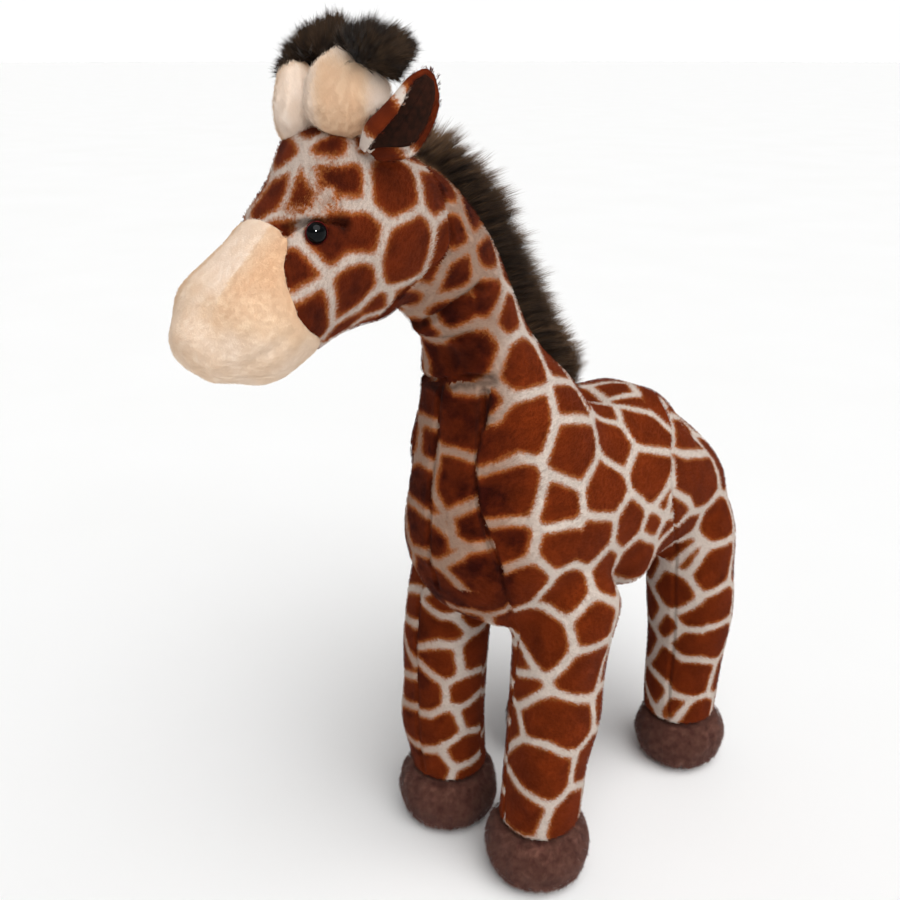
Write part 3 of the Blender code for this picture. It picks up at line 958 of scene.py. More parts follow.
def sculpt_muzzle(points, normals):
    """The soft mouth crease and the gusset's seam on the muzzle."""
    for side in (list, mirrored):
        points = press(points, normals, smooth_path(side(MOUTH_CREASE)), 3.0, 1.5, 0.5)
        points = press(points, normals, smooth_path(side(GUSSET_SEAM)), 2.2, 0.5, 0.2)
    return points


def nap(points, normals):
    """The lie of the coat: back over the head, down the neck and legs, back along the trunk."""
    down = ease(points[:, 2], 330.0, 200.0)
    neck = ease(points[:, 2], 345.0, 380.0) * ease(points[:, 1], -135.0, -95.0)
    head = ease(points[:, 2], 395.0, 415.0) * ease(points[:, 1], -85.0, -115.0)
    flow = np.zeros_like(points)
    flow[:, 1] = 0.9 * (1.0 - down) + 0.1
    flow[:, 2] = -0.35 - 1.0 * down
    flow += neck[:, None] * np.array((0.0, -0.2, -1.3))
    flow = flow * (1.0 - head[:, None]) + head[:, None] * np.array((0.0, 1.0, 0.25))
    return unit(along_skin(flow, normals))


def file_cover(mesh, pile, comb, cover=1.0, region=0):
    """Stores on a cover what its pile grows by."""
    write_attribute(mesh, "outward", read_normals(mesh))
    write_attribute(mesh, "comb", comb)
    write_attribute(mesh, "pile", pile)
    write_attribute(mesh, "cover", cover)
    write_attribute(mesh, "region", region)


# ---- markings -----------------------------------------------------------------------------

# The coat's patches, in millimetres. Each row is one patch of one or more lobes, and each lobe
# is (back along the body, height, radius) for those seen from the side.
HEAD_PATCHES = (
    ((-165, 461, 10), (-157, 465, 10), (-148, 463, 11)),    # round the eye
    ((-148, 487, 9), (-155, 486, 8), (-160, 484, 6)),       # brow
    ((-168, 481, 9),),
    ((-181, 451, 10),),                         # before and below the eye
    ((-179, 467, 2),),
    ((-153, 439, 14),),                         # cheek
    ((-175, 431, 11),),                         # jaw
    ((-147, 417, 6), (-133, 425, 6)),
    ((-127, 482, 16),),                         # crown
    ((-120, 452, 18),),
    ((-139, 501, 5),),                          # under the ear
    ((-99, 476, 11),),                          # poll
    ((-99, 438, 6),),
    ((-116, 431, 7),),
)
SIDE_PATCHES = (
    ((-85, 456, 9),),                           # neck, from the throat down
    ((-54, 440, 8),),
    ((-79, 432, 10),),
    ((-74, 416, 9), (-56, 420, 10)),
    ((-37, 404, 9),),
    ((-34, 375, 15),),
    ((-52, 357, 4),),                           # shoulder, from the dart down
    ((-35, 342, 16), (-51, 334, 9)),
    ((-45, 302, 17),),
    ((-49, 272, 12),),
    ((-43, 246, 13),),
    ((0, 344, 9),),                             # flank, upper row
    ((-6, 322, 19),),
    ((43, 312, 16),),
    ((77, 310, 18),),
    ((126, 291, 15), (138, 287, 12)),
    ((-22, 291, 14),),                          # flank, middle row
    ((16, 289, 17),),
    ((65, 287, 19),),
    ((113, 268, 16), (122, 266, 20), (134, 264, 18)),
    ((-25, 267, 14), (4, 263, 16)),             # flank, lower row
    ((38, 261, 14),),
    ((78, 266, 7),),
    ((66, 252, 7),),
    ((102, 252, 8),),
    ((88, 262, 7),),
    ((84, 243, 5),),
    ((128, 204, 13),),
    ((145, 224, 14),),
    ((-14, 231, 14),),                          # elbow and thigh
    ((17, 235, 14),),
    ((-2, 208, 14),),
    ((144, 191, 18),),
)
BACK_PATCHES = (                                # (aside, back along the body, radius)
    ((29, 54, 10),),
    ((23, 91, 9), (28, 116, 11)),
    ((9, 94, 11),),
    ((43, 138, 7),),
)
FOREHEAD_PATCHES = (                            # (aside, height, radius)
    ((-9, 497, 8),),
    ((0, 480, 11),),
    ((20, 502, 7),),
)
CHEST_PATCHES = (
    ((-9, 376, 10), (2, 377, 11), (12, 380, 12), (22, 384, 13)),    # neck above the fold
    ((14, 344, 16),),                           # left panel
    ((13, 307, 16),),
    ((27, 283, 11),),
    ((31, 255, 14), (24, 252, 12)),
    ((16, 264, 7),),
    ((-9, 350, 12), (-20, 349, 11)),            # right panel
    ((-9, 329, 10),),
    ((-24, 324, 11),),
    ((-13, 299, 13),),
    ((-14, 273, 10),),
    ((-10, 240, 10), (9, 240, 8)),
    ((13, 222, 9), (28, 226, 9)),
)
NEAR_LEG_PATCHES = (                            # (aside, height, radius)
    ((50, 199, 18),),
    ((71, 174, 16), (76, 171, 14)),
    ((54, 139, 14), (68, 139, 15), (76, 136, 15)),
    ((57, 104, 18),),
    ((46, 68, 15),),
    ((73, 72, 16),),
    ((76, 106, 11),),
    ((31, 179, 8),),
    ((39, 156, 7),),
    ((29, 128, 9),),
)
FAR_LEG_PATCHES = (
    ((-51, 186, 12),),
    ((-34, 177, 8), (-22, 176, 8), (-15, 171, 9)),
    ((-48, 163, 11),),
    ((-24, 151, 11),),
    ((-15, 148, 8),),
    ((-41, 123, 15),),
    ((-17, 124, 12),),
    ((-15, 103, 6),),
    ((-39, 88, 12), (-24, 95, 11)),
    ((-33, 58, 14),),
    ((-15, 65, 13),),
    ((-57, 114, 9),),
)
HIND_LEG_PATCHES = (
    ((57, 202, 13),),
    ((49, 169, 16),),
    ((45, 136, 8),),
    ((63, 149, 11), (74, 155, 14)),
    ((62, 125, 12), (73, 126, 14)),
    ((43, 100, 9), (63, 92, 15)),
    ((34, 70, 10),),
    ((54, 61, 7),),
    ((73, 63, 10),),
    ((76, 97, 7),),
)
CHEST_PANEL_FOOT = 236.0        # where the chest's panels end over the front legs


def neck_foot(points):
    """Height where the chest's panels end under the neck, lower on the right side."""
    return np.interp(points[:, 0], (-20.0, 12.0), (359.0, 367.0))


def panel_of(points):
    """The sewn panel of each point.

    0 sides, 1 head, 2 and 3 chest, 4 and 5 insides of the front legs, 6 hindquarters.
    """
    x, y, z = points.T
    seam = np.interp(z, (400.0, 419.0, 427.0, 435.0, 443.0, 452.0, 478.0, 490.0, 510.0),
                     (-126.0, -122.0, -119.0, -104.0, -91.0, -86.0, -87.0, -89.0, -92.0))
    head = (y < seam) & (z > 395.0)
    left = x >= 0.0
    rows = {1: NEAR_LEG_SEAM + CHEST_SEAM[::-1], -1: FAR_LEG_SEAM[::-1] + CHEST_SEAM[::-1]}
    edges = {}
    for side, path in rows.items():
        path = sorted(path, key=lambda row: row[2])
        edges[side] = np.interp(z, [row[2] for row in path], [abs(row[0]) for row in path])
    edge = np.where(left, edges[1], edges[-1])
    front = (np.abs(x) < edge) & (y < -8.0) & (z < neck_foot(points)) & ~head
    chest = front & (z > CHEST_PANEL_FOOT)
    seam_row = sorted(HIND_SEAM, key=lambda row: row[2])
    behind = y > np.interp(z, [row[2] for row in seam_row], [row[1] for row in seam_row])
    panel = np.where(head, 1, np.where(behind & (z < 322.0) & (y > 60.0), 6, 0))
    panel = np.where(chest, np.where(left, 2, 3), panel)
    return np.where(front & ~chest, np.where(left, 4, 5), panel)


def onto_skin(tree, start, heading):
    """The point of the skin met from a start along a heading, or None."""
    hit = tree.ray_cast(Vector(start) * MM, Vector(heading).normalized())[0]
    return None if hit is None else np.array(hit) / MM


def laid_out_lobes(tree):
    """Every laid out lobe as (place on the skin, radius, patch number)."""
    lobes = []
    patch = 0
    sides = [(HEAD_PATCHES, 1.0, (0.0, 0.0)), (HEAD_PATCHES, -1.0, (2.0, -2.0)),
             (SIDE_PATCHES, 1.0, (0.0, 0.0)), (SIDE_PATCHES, -1.0, (11.0, -8.0))]
    for rows, mirror, (back, up) in sides:
        for row in rows:
            patch += 1
            for y, z, radius in row:
                spot = onto_skin(tree, (300.0 * mirror, y + back, z + up), (-mirror, 0.0, 0.0))
                lobes.append((spot, radius, patch))
    views = [(FOREHEAD_PATCHES, -300.0), (CHEST_PATCHES, -300.0), (NEAR_LEG_PATCHES, -300.0),
             (FAR_LEG_PATCHES, -300.0), (HIND_LEG_PATCHES, 75.0)]
    for rows, ahead in views:
        for row in rows:
            patch += 1
            for x, z, radius in row:
                spot = onto_skin(tree, (x, ahead, z), (0.0, 1.0, 0.0))
                lobes.append((spot, radius, patch))
    for row in BACK_PATCHES:
        patch += 1
        for x, y, radius in row:
            lobes.append((onto_skin(tree, (x, y, 500.0), (0.0, 0.0, -1.0)), radius, patch))
    return [lobe for lobe in lobes if lobe[0] is not None]


def all_lobes(mesh, points, panels, size, rng):
    """The laid out lobes, and evenly spread ones wherever they leave room."""
    tree = BVHTree.FromPolygons([Vector(p * MM) for p in points],
                                [tuple(p.vertices) for p in mesh.polygons])
    lobes = laid_out_lobes(tree)
    places = [lobe[0] for lobe in lobes]
    sizes = [float(lobe[1]) for lobe in lobes]
    patches = [lobe[2] for lobe in lobes]
    homes = [int(panel) for panel in panel_of(np.array(places))]
    fixed = len(places)
    room = np.full(len(points), 1e9)
    for place, radius, home in zip(places, sizes, homes):
        here = panels == home
        away = np.linalg.norm(points[here] - place, axis=1) - radius
        room[here] = np.minimum(room[here], away)
    own = 0.5 * size * (1.0 - 0.14 * ease(points[:, 2], 230.0, 160.0)
                        - 0.25 * ease(points[:, 2], 350.0, 390.0))
    while True:
        open_ones = np.flatnonzero(room > own)
        if not len(open_ones):
            break
        pick = open_ones[rng.integers(len(open_ones))]
        places.append(points[pick])
        sizes.append(own[pick])
        patches.append(max(patches) + 1)
        homes.append(int(panels[pick]))
        here = panels == panels[pick]
        away = np.linalg.norm(points[here] - points[pick], axis=1) - own[pick]
        room[here] = np.minimum(room[here], away)
    places = np.array(places)
    sizes = np.array(sizes)
    homes = np.array(homes)
    for _ in range(3):
        owner = nearest_lobes(points, panels, places, sizes, homes, 1)[0][:, 0]
        for number in range(fixed, len(places)):
            mine = points[owner == number]
            if len(mine):
                places[number] = 0.4 * places[number] + 0.6 * mine.mean(axis=0)
    return places, sizes, np.array(patches), homes


POINTS_AT_ONCE = 8000   # so that the table of distances stays small


def nearest_lobes(points, panels, places, sizes, homes, count):
    """The nearest few lobes of each point's own panel, with their squared distances.

    A lobe's squared radius is taken off, so that a border lies further from a larger lobe.
    """
    nearest = np.zeros((len(points), count), int)
    squares = np.full((len(points), count), 1e9)
    for panel in np.unique(panels):
        rows = np.flatnonzero(panels == panel)
        mine = np.flatnonzero(homes == panel)
        take = min(count, len(mine))
        if not take:
            continue
        for start in range(0, len(rows), POINTS_AT_ONCE):
            some = rows[start:start + POINTS_AT_ONCE]
            gaps = ((points[some][:, None, :] - places[mine][None]) ** 2).sum(axis=2)
            gaps = gaps - sizes[mine] ** 2
            order = np.argsort(gaps, axis=1)[:, :take]
            nearest[some, :take] = mine[order]
            squares[some, :take] = np.take_along_axis(gaps, order, axis=1)
    return nearest, squares


# pale lines and spots of the print besides those between patches: path, half its width
PALE_PATHS = (
    (2, ((2, -70, 327), (2, -71, 302), (8, -75, 292), (16, -75, 285), (20, -78, 270)), 2.4),
    (1, ((26, -164, 477), (24, -160, 480)), 4),
    (1, ((21, -171, 475.5), (13, -177, 476)), 1.6),
    (6, HIND_SEAM[:4], 2),
)

# places where the coat is darker, partly darker print and partly painted shade round the eyes and on
# the throat, chest and front legs: place, radius, amount
DARKER_PRINT_AND_PAINTED_SHADE = (
    ((21, -158, 486), 19, 1),
    ((20, -181, 451), 17, 1),
    ((24, -175, 431), 18, 1),
    ((27, -160, 461), 19, 0.95),
    ((28, -150, 437), 18, 0.8),
    ((17, -152, 503), 17, 1),
    ((18, -74, 405), 29, 1),
    ((22, -64, 384), 26, 1),
    ((16, -62, 345), 25, 0.95),
    ((20, -66, 300), 28, 0.85),
    ((35, -50, 337), 10, 0.6),
    ((36, -52, 300), 12, 0.4),
    ((46, -40, 195), 18, 0.4),
)

# places where the print is ruffled and its browns and cream run together: place, radius, amount
RUFFLED = (
    ((18, -170, 480), 9, 2.2),
    ((26, -161, 477), 6, 1.8),
    ((22, -157, 492), 8, 1.3),
    ((32, -51, 335), 8, 2.4),
    ((27, -58, 392), 7, 1.2),
)


def strongest(values, points, rows):
    """Raises values near some places to an amount that fades over a radius."""
    for place, radius, amount in rows:
        away = np.linalg.norm(points - np.array(place), axis=1) / radius
        values = np.maximum(values, amount * np.exp(-away ** 2))
    return values


SHARPNESS = 0.85        # how sharply the borders of neighbouring patches meet
NEIGHBOURS = 8          # how many lobes may shape each point's border


def paint_marks(obj, marks):
    """Stores how far each point lies inside its patch and how dark that patch is, with painted shade
    on the front, throat, chest and hindquarters and along the seams and folds.
    """
    mesh = obj.data
    points = read_points(mesh)
    panels = panel_of(points)
    rng = np.random.default_rng(11)
    places, sizes, patches, homes = all_lobes(mesh, points, panels, marks.patch_size / MM, rng)
    wobble = marks.wobble / MM
    warped = points + wobble * np.stack(
        [fractal(points, 19.0, axis + 1.0) for axis in range(3)], axis=1)
    nearest, squares = nearest_lobes(warped, panels, places, sizes, homes, NEIGHBOURS)
    own = nearest[:, 0]
    total = np.zeros(len(points))
    for other in range(1, NEIGHBOURS):
        them = nearest[:, other]
        apart = np.linalg.norm(places[them] - places[own], axis=1)
        gap = (squares[:, other] - squares[:, 0]) / np.maximum(2.0 * apart, 1e-6)
        counts = (patches[them] != patches[own]) & (squares[:, other] < 1e8)
        total += np.where(counts, np.exp(-SHARPNESS * np.minimum(gap, 99.0)), 0.0)
    border = -np.log(np.maximum(total, 1e-9)) / SHARPNESS
    head = panels == 1
    mark = np.minimum(border, 20.0) - 0.5 * marks.line_width / MM * (1.0 - 0.25 * head)
    chest = np.isin(panels, (2, 3))
    hem = neck_foot(points) - 6.0 - points[:, 2] + np.maximum(0.0, 10.0 - points[:, 0])
    mark = np.where(chest, np.minimum(mark, hem), mark)
    folded = left_half(points)
    normals = read_normals(mesh)
    for panel, path, half in PALE_PATHS:
        away = path_distance(points if panel == 2 else folded, laid(path, points, normals))
        mark = np.where(panels == panel, np.minimum(mark, away - half), mark)
    shares = rng.uniform(0.0, 1.0, patches.max() + 1)
    # painted shade on the toy's front, under the head, beside each patch's own random darkness
    front = ease(points[:, 1], -30.0, -55.0) * ~head
    blotch = ease(fractal(points, 15.0, 8.0), -0.12, 0.30)
    shade = np.clip(0.35 * shares[patches[own]] + 0.55 * front, 0.0, 1.0)
    tone = np.clip(shade * (0.35 + 0.9 * blotch) + 0.35 * front, 0.0, 1.0)
    # painted shade on the throat, the chest and the hindquarters; the head is darker too
    throat = ease(points[:, 2], 362.0, 372.0) * ease(points[:, 1], -25.0, -55.0) * ~head
    base = 0.62 * head + 0.6 * throat + 0.5 * chest + 0.3 * (panels == 6)
    tone = np.maximum(tone, base * (0.55 + 0.45 * blotch))
    tone = strongest(tone, folded, DARKER_PRINT_AND_PAINTED_SHADE)
    fuzz = strongest(np.zeros(len(points)), folded, RUFFLED)
    mark = mark * (1.0 - 0.5 * np.clip(fuzz / 3.0, 0.0, 1.0)) + 0.8 * fuzz * head
    # painted shade along the seams and folds, darkest beside the deepest
    crease = np.zeros(len(points))
    for path, width, depth in creases(points, normals):
        away = path_distance(points, path) / (1.1 * width)
        crease = np.maximum(crease, min(1.0, 0.55 * depth) * np.exp(-away ** 2))
    # painted shade tints the lines tan on the front; on the head and where the print is ruffled they
    # are tan too
    warm = np.maximum(0.85 * front, 0.28 * fuzz + 0.22 * head)
    for layer, values in (("mark", mark), ("tone", tone), ("fuzz", fuzz), ("crease", crease),
                          ("warm", warm)):
        write_attribute(mesh, layer, values)
    return np.clip(fuzz / 2.0, 0.0, 1.0), crease


BODY_REGIONS = 10


def regions_of(points):
    """Shares the body out between pieces of pile, so that none grows too large."""
    x, y, z = points.T
    right = (x < 0.0).astype(int)
    region = np.where(y < 60.0, 2, 3 + right)
    region = np.where(z > 325.0, 1, region)
    region = np.where((z > 395.0) & (y < -88.0), 0, region)
    region = np.where(z < 195.0, np.where(y < 50.0, 5, 7) + right, region)
    region = np.where((z >= 195.0) & (z < 250.0) & (y < 60.0), 9, region)
    return region


class GIRAFFE_OT_body(bpy.types.Operator):
    """Makes the stuffed body's cover, its muzzle and their markings"""

    bl_idname = "giraffe.body"
    bl_label = "Body Cover"

    def execute(self, context):
        sizes = context.scene.giraffe_cover
        pile = context.scene.giraffe_pile
        body = skinned(flesh_copy("body_cover", FLESH), sizes.grain, sizes.softening)
        lines = creases(read_points(body.data), read_normals(body.data))
        refined(body, [line[0] for line in lines], reach=5.6)
        refined(body, [CHEST_SEAM, NECK_FOLD], reach=2.6)
        points = read_points(body.data)
        normals = read_normals(body.data)
        points -= normals * sizes.coat_depth / MM
        seam = seam_plane("muzzle", "head")
        centre, facing = seam
        nose = (points[:, 1] < middle("head")[1]) & (points[:, 2] > 380.0)
        across = ahead_of_seam(points, seam)
        points -= normals * (1.3 * np.exp(-(across / 1.5) ** 2) * nose)[:, None]
        points = sculpt_body(points, normals, sizes)
        ahead = ease(across, -1.0, 3.0) * nose
        points += (sculpt_muzzle(points, normals) - points) * ahead[:, None]
        write_points(body.data, points)
        muzzle = split_by(body, Vector(centre * MM), Vector(facing), seam_bend, "muzzle_cover")

        points = read_points(body.data)
        normals = read_normals(body.data)
        unwrap(body)
        ruffle, crease = paint_marks(body, context.scene.giraffe_marking)
        face = ease(points[:, 1], -95.0, -120.0) * ease(points[:, 2], 395.0, 415.0)
        length = pile.body_pile + (pile.face_pile - pile.body_pile) * face
        length = length + (pile.brow_pile - pile.face_pile) * ruffle * face * (points[:, 0] > 5.0)
        socket = np.linalg.norm(left_half(points) - middle("eye_left"), axis=1)
        at_muzzle = np.linalg.norm(points - centre, axis=1) < 60.0
        capped = ease(np.abs(ahead_of_seam(points, seam)), 0.3, 0.1) * at_muzzle
        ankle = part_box("foot_front_left")[1].z / MM
        furred = (1.0 - capped) * ease(points[:, 2], ankle - 8.0, ankle - 2.0)
        length = length * (0.45 + 0.55 * ease(socket, 4.5, 9.0)) * (1.0 - 0.6 * crease)
        file_cover(body.data, length, nap(points, normals), furred, regions_of(points))
        hand_over(body, patched_plush(False),
                  [n for n in FLESH if n != "muzzle"])

        points = read_points(muzzle.data)
        normals = read_normals(muzzle.data)
        unwrap(muzzle)
        gusset = path_distance(left_half(points), smooth_path(GUSSET_SEAM))
        inner = np.abs(points[:, 0]) < np.interp(points[:, 2], (400.0, 440.0, 470.0),
                                                 (15.0, 15.0, 9.0))
        panel = ease(gusset, -3.0, 15.0) * ~inner
        high = ease(points[:, 2] + 0.3 * (points[:, 1] + 200.0), 412.0, 452.0)
        band = (1.0 - panel) * ease(points[:, 2], 432.0, 452.0)
        write_attribute(muzzle.data, "tone", 0.30 + 0.20 * high + 0.34 * panel * high
                        - 0.26 * band)
        flow = along_skin(np.zeros_like(points) + (0.0, 0.9, -0.5), normals)
        file_cover(muzzle.data, pile.muzzle_pile, unit(flow),
                   ease(np.abs(ahead_of_seam(points, seam)), 0.1, 0.3))
        hand_over(muzzle, cream_plush(False), ["muzzle"])
        return {"FINISHED"}


class GIRAFFE_OT_short_pile(bpy.types.Operator):
    """Grows the short velvety pile of the body and the muzzle"""

    bl_idname = "giraffe.short_pile"
    bl_label = "Short Pile"

    def execute(self, context):
        density = context.scene.giraffe_pile.body_tufts
        tuft = tuft_object("short_tuft", blades=5, width=0.15, spread=0.4, lean=0.6, curl=0.45,
                           seed=3)
        finish = patched_plush(True)
        body = bpy.data.objects["body_cover"]
        for region in range(BODY_REGIONS):
            grow(f"body_pile_{region + 1}", body, tuft, finish, density,
                 region, unruly=0.13, uneven=0.2, roundness=3.0, seed=20 + region)
        flat = tuft_object("flat_tuft", blades=6, width=0.22, spread=0.85, lean=0.95, curl=0.35,
                           seed=4)
        grow("muzzle_pile", bpy.data.objects["muzzle_cover"], flat, cream_plush(True), density,
             unruly=0.06, uneven=0.1, roundness=8.0, seed=40)
        drop(flat)
        drop(tuft)
        return {"FINISHED"}


# ---- feet, ossicones, ears, mane, tail and eyes -------------------------------------------

def part_cover(name, node, grain, softening, inset):
    """The cover of one small stuffed piece, a little inside its solid."""
    cover = skinned(flesh_copy(name, (node,)), grain, softening)
    points = read_points(cover.data)
    normals = read_normals(cover.data)
    return cover, points - normals * inset, normals


def combed(normals, flow):
    """A lie of the coat that follows a flow over the surface."""
    flow = np.broadcast_to(np.asarray(flow, float), normals.shape)
    return unit(along_skin(flow, normals) + 1e-6)


# each foot's width for its solid's, and how far it is sewn aside, in millimetres
FOOT_FIT = {"front_left": (0.99, 1.5), "front_right": (1.0, -2.0), "hind_left": (0.95, 2.5),
            "hind_right": (0.96, 0.0)}


class GIRAFFE_OT_feet(bpy.types.Operator):
    """Makes the four plush feet with their medium pile"""

    bl_idname = "giraffe.feet"
    bl_label = "Feet"

    def execute(self, context):
        pile = context.scene.giraffe_pile
        tuft = tuft_object("foot_tuft", blades=6, width=0.1, spread=0.3, lean=0.4, curl=0.6,
                           seed=5)
        cloth = foot_plush(False)
        finish = foot_plush(True)
        for number, leg in enumerate(LEGS):
            node = "foot_" + leg
            cover, points, normals = part_cover(node + "_cover", node, 2.0 * MM, 12, 0.0)
            lumps = fractal(points, 22.0, number + 3.0)
            above = ease(points[:, 2], 4.0, 16.0)
            points = points + normals * ((-2.6 + 1.3 * lumps) * above)[:, None]
            scale, aside = FOOT_FIT[leg]
            widened(points, middle(node), scale * np.interp(
                points[:, 2], (0.0, 5.0, 12.0, 24.0, 36.0, 46.0),
                (0.75, 0.86, 0.97, 1.02, 1.0, 0.95)))
            points[:, :2] += 0.707 * aside
            points[:, 2] = np.maximum(points[:, 2], 0.4)
            normals = settled(cover, points)
            swirl = np.stack([fractal(points, 16.0, 5.0 + number), fractal(points, 16.0, 9.0),
                              np.zeros(len(points))], axis=1)
            comb = combed(normals, swirl * 0.9 + np.array((0.0, 0.0, -0.55)))
            length = pile.foot_pile * (0.45 + 0.55 * ease(points[:, 2], 1.0, 12.0))
            file_cover(cover.data, length, comb, ease(points[:, 2], 1.0, 3.0))
            hand_over(cover, cloth, [node])
            grow(node + "_pile", cover, tuft, finish, 280000.0, unruly=0.16,
                 uneven=0.2, roundness=4.0, seed=50 + number)
        drop(tuft)
        return {"FINISHED"}


# how much of each ossicone's foot is trimmed, how far it swells, and its top's height kept
OSSICONE_FIT = {"left": (19.0, 0.06, 0.88), "right": (10.0, 0.11, 0.45)}

# where each dark tuft is sewn from its solid's middle, along which line, and its brushing
TUFT_PLACE = {"left": (4.0, -3.0, -0.9), "right": (17.2, -8.8, -2.6)}
TUFT_LINE = {"left": (0.69, 0.69, 0.12), "right": (-0.57, -0.57, -0.6)}
TUFT_SWEEP = {"left": (0.2, 0.2, 0.5), "right": (-0.2, -0.2, 0.4)}
TUFT_SIZE = {"left": (7.8, 5.6), "right": (5.2, 11.6)}     # radius, and how much longer
TUFT_RADIUS = 19.0      # of each tuft's solid


class GIRAFFE_OT_ossicones(bpy.types.Operator):
    """Makes the two cream ossicones and the dark tufts behind their tops"""

    bl_idname = "giraffe.ossicones"
    bl_label = "Ossicones"

    def execute(self, context):
        pile = context.scene.giraffe_pile
        long_pile = context.scene.giraffe_long_pile
        tuft = tuft_object("cream_tuft", blades=6, width=0.22, spread=0.85, lean=0.95,
                           curl=0.35, seed=6)
        fur = tuft_object("fur_lock", blades=10, width=0.026, spread=0.06, lean=0.1, curl=0.5,
                          seed=8)
        cloth = cream_plush(False)
        finish = cream_plush(True)
        backing = dark_pile(False, "black_brown_acrylic_backing", ("#1c130c", "#2a1e14"))
        dark = dark_pile(True, "black_brown_acrylic_fur", ("#261a11", "#453220"))
        for side, mirror in SIDES.items():
            node = "ossicone_" + side
            cover, points, normals = part_cover(node + "_cover", node, 1.4 * MM, 6, 1.8)
            low, high = (corner.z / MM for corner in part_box(node))
            trim, swelling, flat = OSSICONE_FIT[side]
            foot = low + trim
            top = high - 16.0
            z = points[:, 2]
            z[:] = np.where(z < foot, foot + 0.3 * (z - foot), z)
            heart = middle(node) - np.array((0.8, 0.8, 0.0)) * mirror
            rise = np.clip((z - foot + 12.0) / 52.0, 0.0, 1.0)
            widened(points, heart, 1.0 + swelling * np.sin(np.pi * rise))
            under = np.clip((foot + 12.0 - z) / 15.5, 0.0, 0.97)
            widened(points, heart, np.sqrt(1.0 - under ** 2))
            z[:] = np.where(z > top, top + flat * (z - top), z)
            widened(points, heart, 1.0 - 0.3 * ease(z, top - 14.0, top + 16.0))
            for aside, up, radius, height in ((11.0, 14.0, 11.0, 4.5), (-8.0, 17.0, 10.0, 3.8)):
                shoulder = heart + np.array((aside * mirror, aside, up))
                points = swell(points, unit(points - heart), shoulder, radius, height)
            face = unit(np.array((0.45 * mirror, -0.87, 0.1)))
            front = [heart + face * 17.0 + np.array((0.0, 0.0, up)) for up in (-8.0, 0.0, 8.0)]
            points = press(points, normals, front, 8.0, 1.6, 0.6)
            normals = settled(cover, relaxed(cover.data, points, 4))
            across = unit(np.array((0.80 * mirror, 0.60, 0.0)))
            rim = ease(np.abs((points - middle(node)) @ across), 6.0, 16.0)
            crown = ease(points[:, 2], high - 14.0, high - 2.0)
            write_attribute(cover.data, "tone", 0.58 * (1.0 - rim) * (1.0 - crown) + 0.08)
            length = pile.ossicone_pile * (1.0 + 0.3 * np.maximum(rim, crown))
            file_cover(cover.data, length, combed(normals, (0.0, 0.0, 1.0)))
            hand_over(cover, cloth, [node])
            grow(node + "_pile", cover, tuft, finish, 340000.0, unruly=0.07,
                 uneven=0.1, roundness=8.0, seed=60 + int(mirror))

            node = "ossicone_tuft_" + side
            cover, points, normals = part_cover(node + "_backing", node, 1.6 * MM, 8, 0.0)
            line = np.array(TUFT_LINE[side])
            radius, longer = TUFT_SIZE[side]
            ball = (points - middle(node)) / TUFT_RADIUS
            share = (ball @ line)[:, None]
            normals = settled(cover, middle(node) + np.array(TUFT_PLACE[side])
                              + radius * (1.0 - 0.34 * share) * ball + longer * share * line)
            points = read_points(cover.data)
            spray = unit(0.9 * ball + 0.3 * share * line + np.array(TUFT_SWEEP[side]))
            ragged = 1.0 + 0.22 * fractal(points, 3.0, 2.0) + 0.1 * fractal(points, 6.0, 5.0)
            file_cover(cover.data, long_pile.tuft_length * 0.52 * ragged,
                       combed(normals, (0.4 * mirror, 0.5, 0.2)))
            write_attribute(cover.data, "outward", spray)
            hand_over(cover, backing, [node])
            grow(node + "_fur", cover, fur, dark, 1500000.0, unruly=0.3,
                 uneven=0.32, roundness=0.4, seed=70 + int(mirror))
        drop(tuft)
        drop(fur)
        return {"FINISHED"}


EAR_LENGTH = 45.0
EAR_RADIUS = 12.5       # across the ear's curl
EAR_DEPTH = 0.62        # depth of the curl for its width
EAR_CURL = {"front": math.radians(152.0), "back": math.radians(112.0)}
EAR_THICK = 2.8
EAR_ROWS = 30           # rows of faces from base to tip


def ear_frame(side):
    """The base, long axis, width axis and opening direction of an ear."""
    mirror = SIDES[side]
    base = np.array((27.5, -137.5, 498.5) if side == "left" else (-25.5, -134.0, 498.5))
    lean = (0.50, 0.36, 0.79) if side == "left" else (-0.30, 0.56, 0.77)
    along = unit(np.array(lean))
    opening = np.array((0.78 * mirror, -0.62, -0.10))
    opening = unit(opening - along * (opening @ along))
    wide = np.cross(along, opening) * mirror
    return base, along, wide, opening


def ear_place(frame_of_ear, u, v, inset):
    """A point of the ear's curled leaf: u from base to tip, v from the front edge to the back."""
    base, along, wide, opening = frame_of_ear
    leaf = (0.42 + 0.5 * math.sin(0.5 * math.pi * min(1.0, 3.2 * u))
            - 0.32 * max(0.0, u - 0.3) / 0.7 - 0.36 * max(0.0, (u - 0.78) / 0.22) ** 2.0)
    curl = EAR_CURL["front"] if v < 0.0 else EAR_CURL["back"]
    unrolled = 1.0 - 0.35 * max(0.0, (u - 0.55) / 0.45)
    turn = curl * v * unrolled
    radius = EAR_RADIUS * leaf - inset
    aside = radius * math.sin(turn)
    ahead = EAR_DEPTH * EAR_RADIUS * leaf - EAR_DEPTH * radius * math.cos(turn)
    sway = 2.0 * math.sin(2.4 * u) - 5.0 * u * u
    aside += 9.0 * u * (1.0 - 0.75 * u) + 3.6 * max(0.0, v) * math.sin(math.pi * u)
    return base + along * (EAR_LENGTH * u) + wide * aside + opening * (ahead + sway)


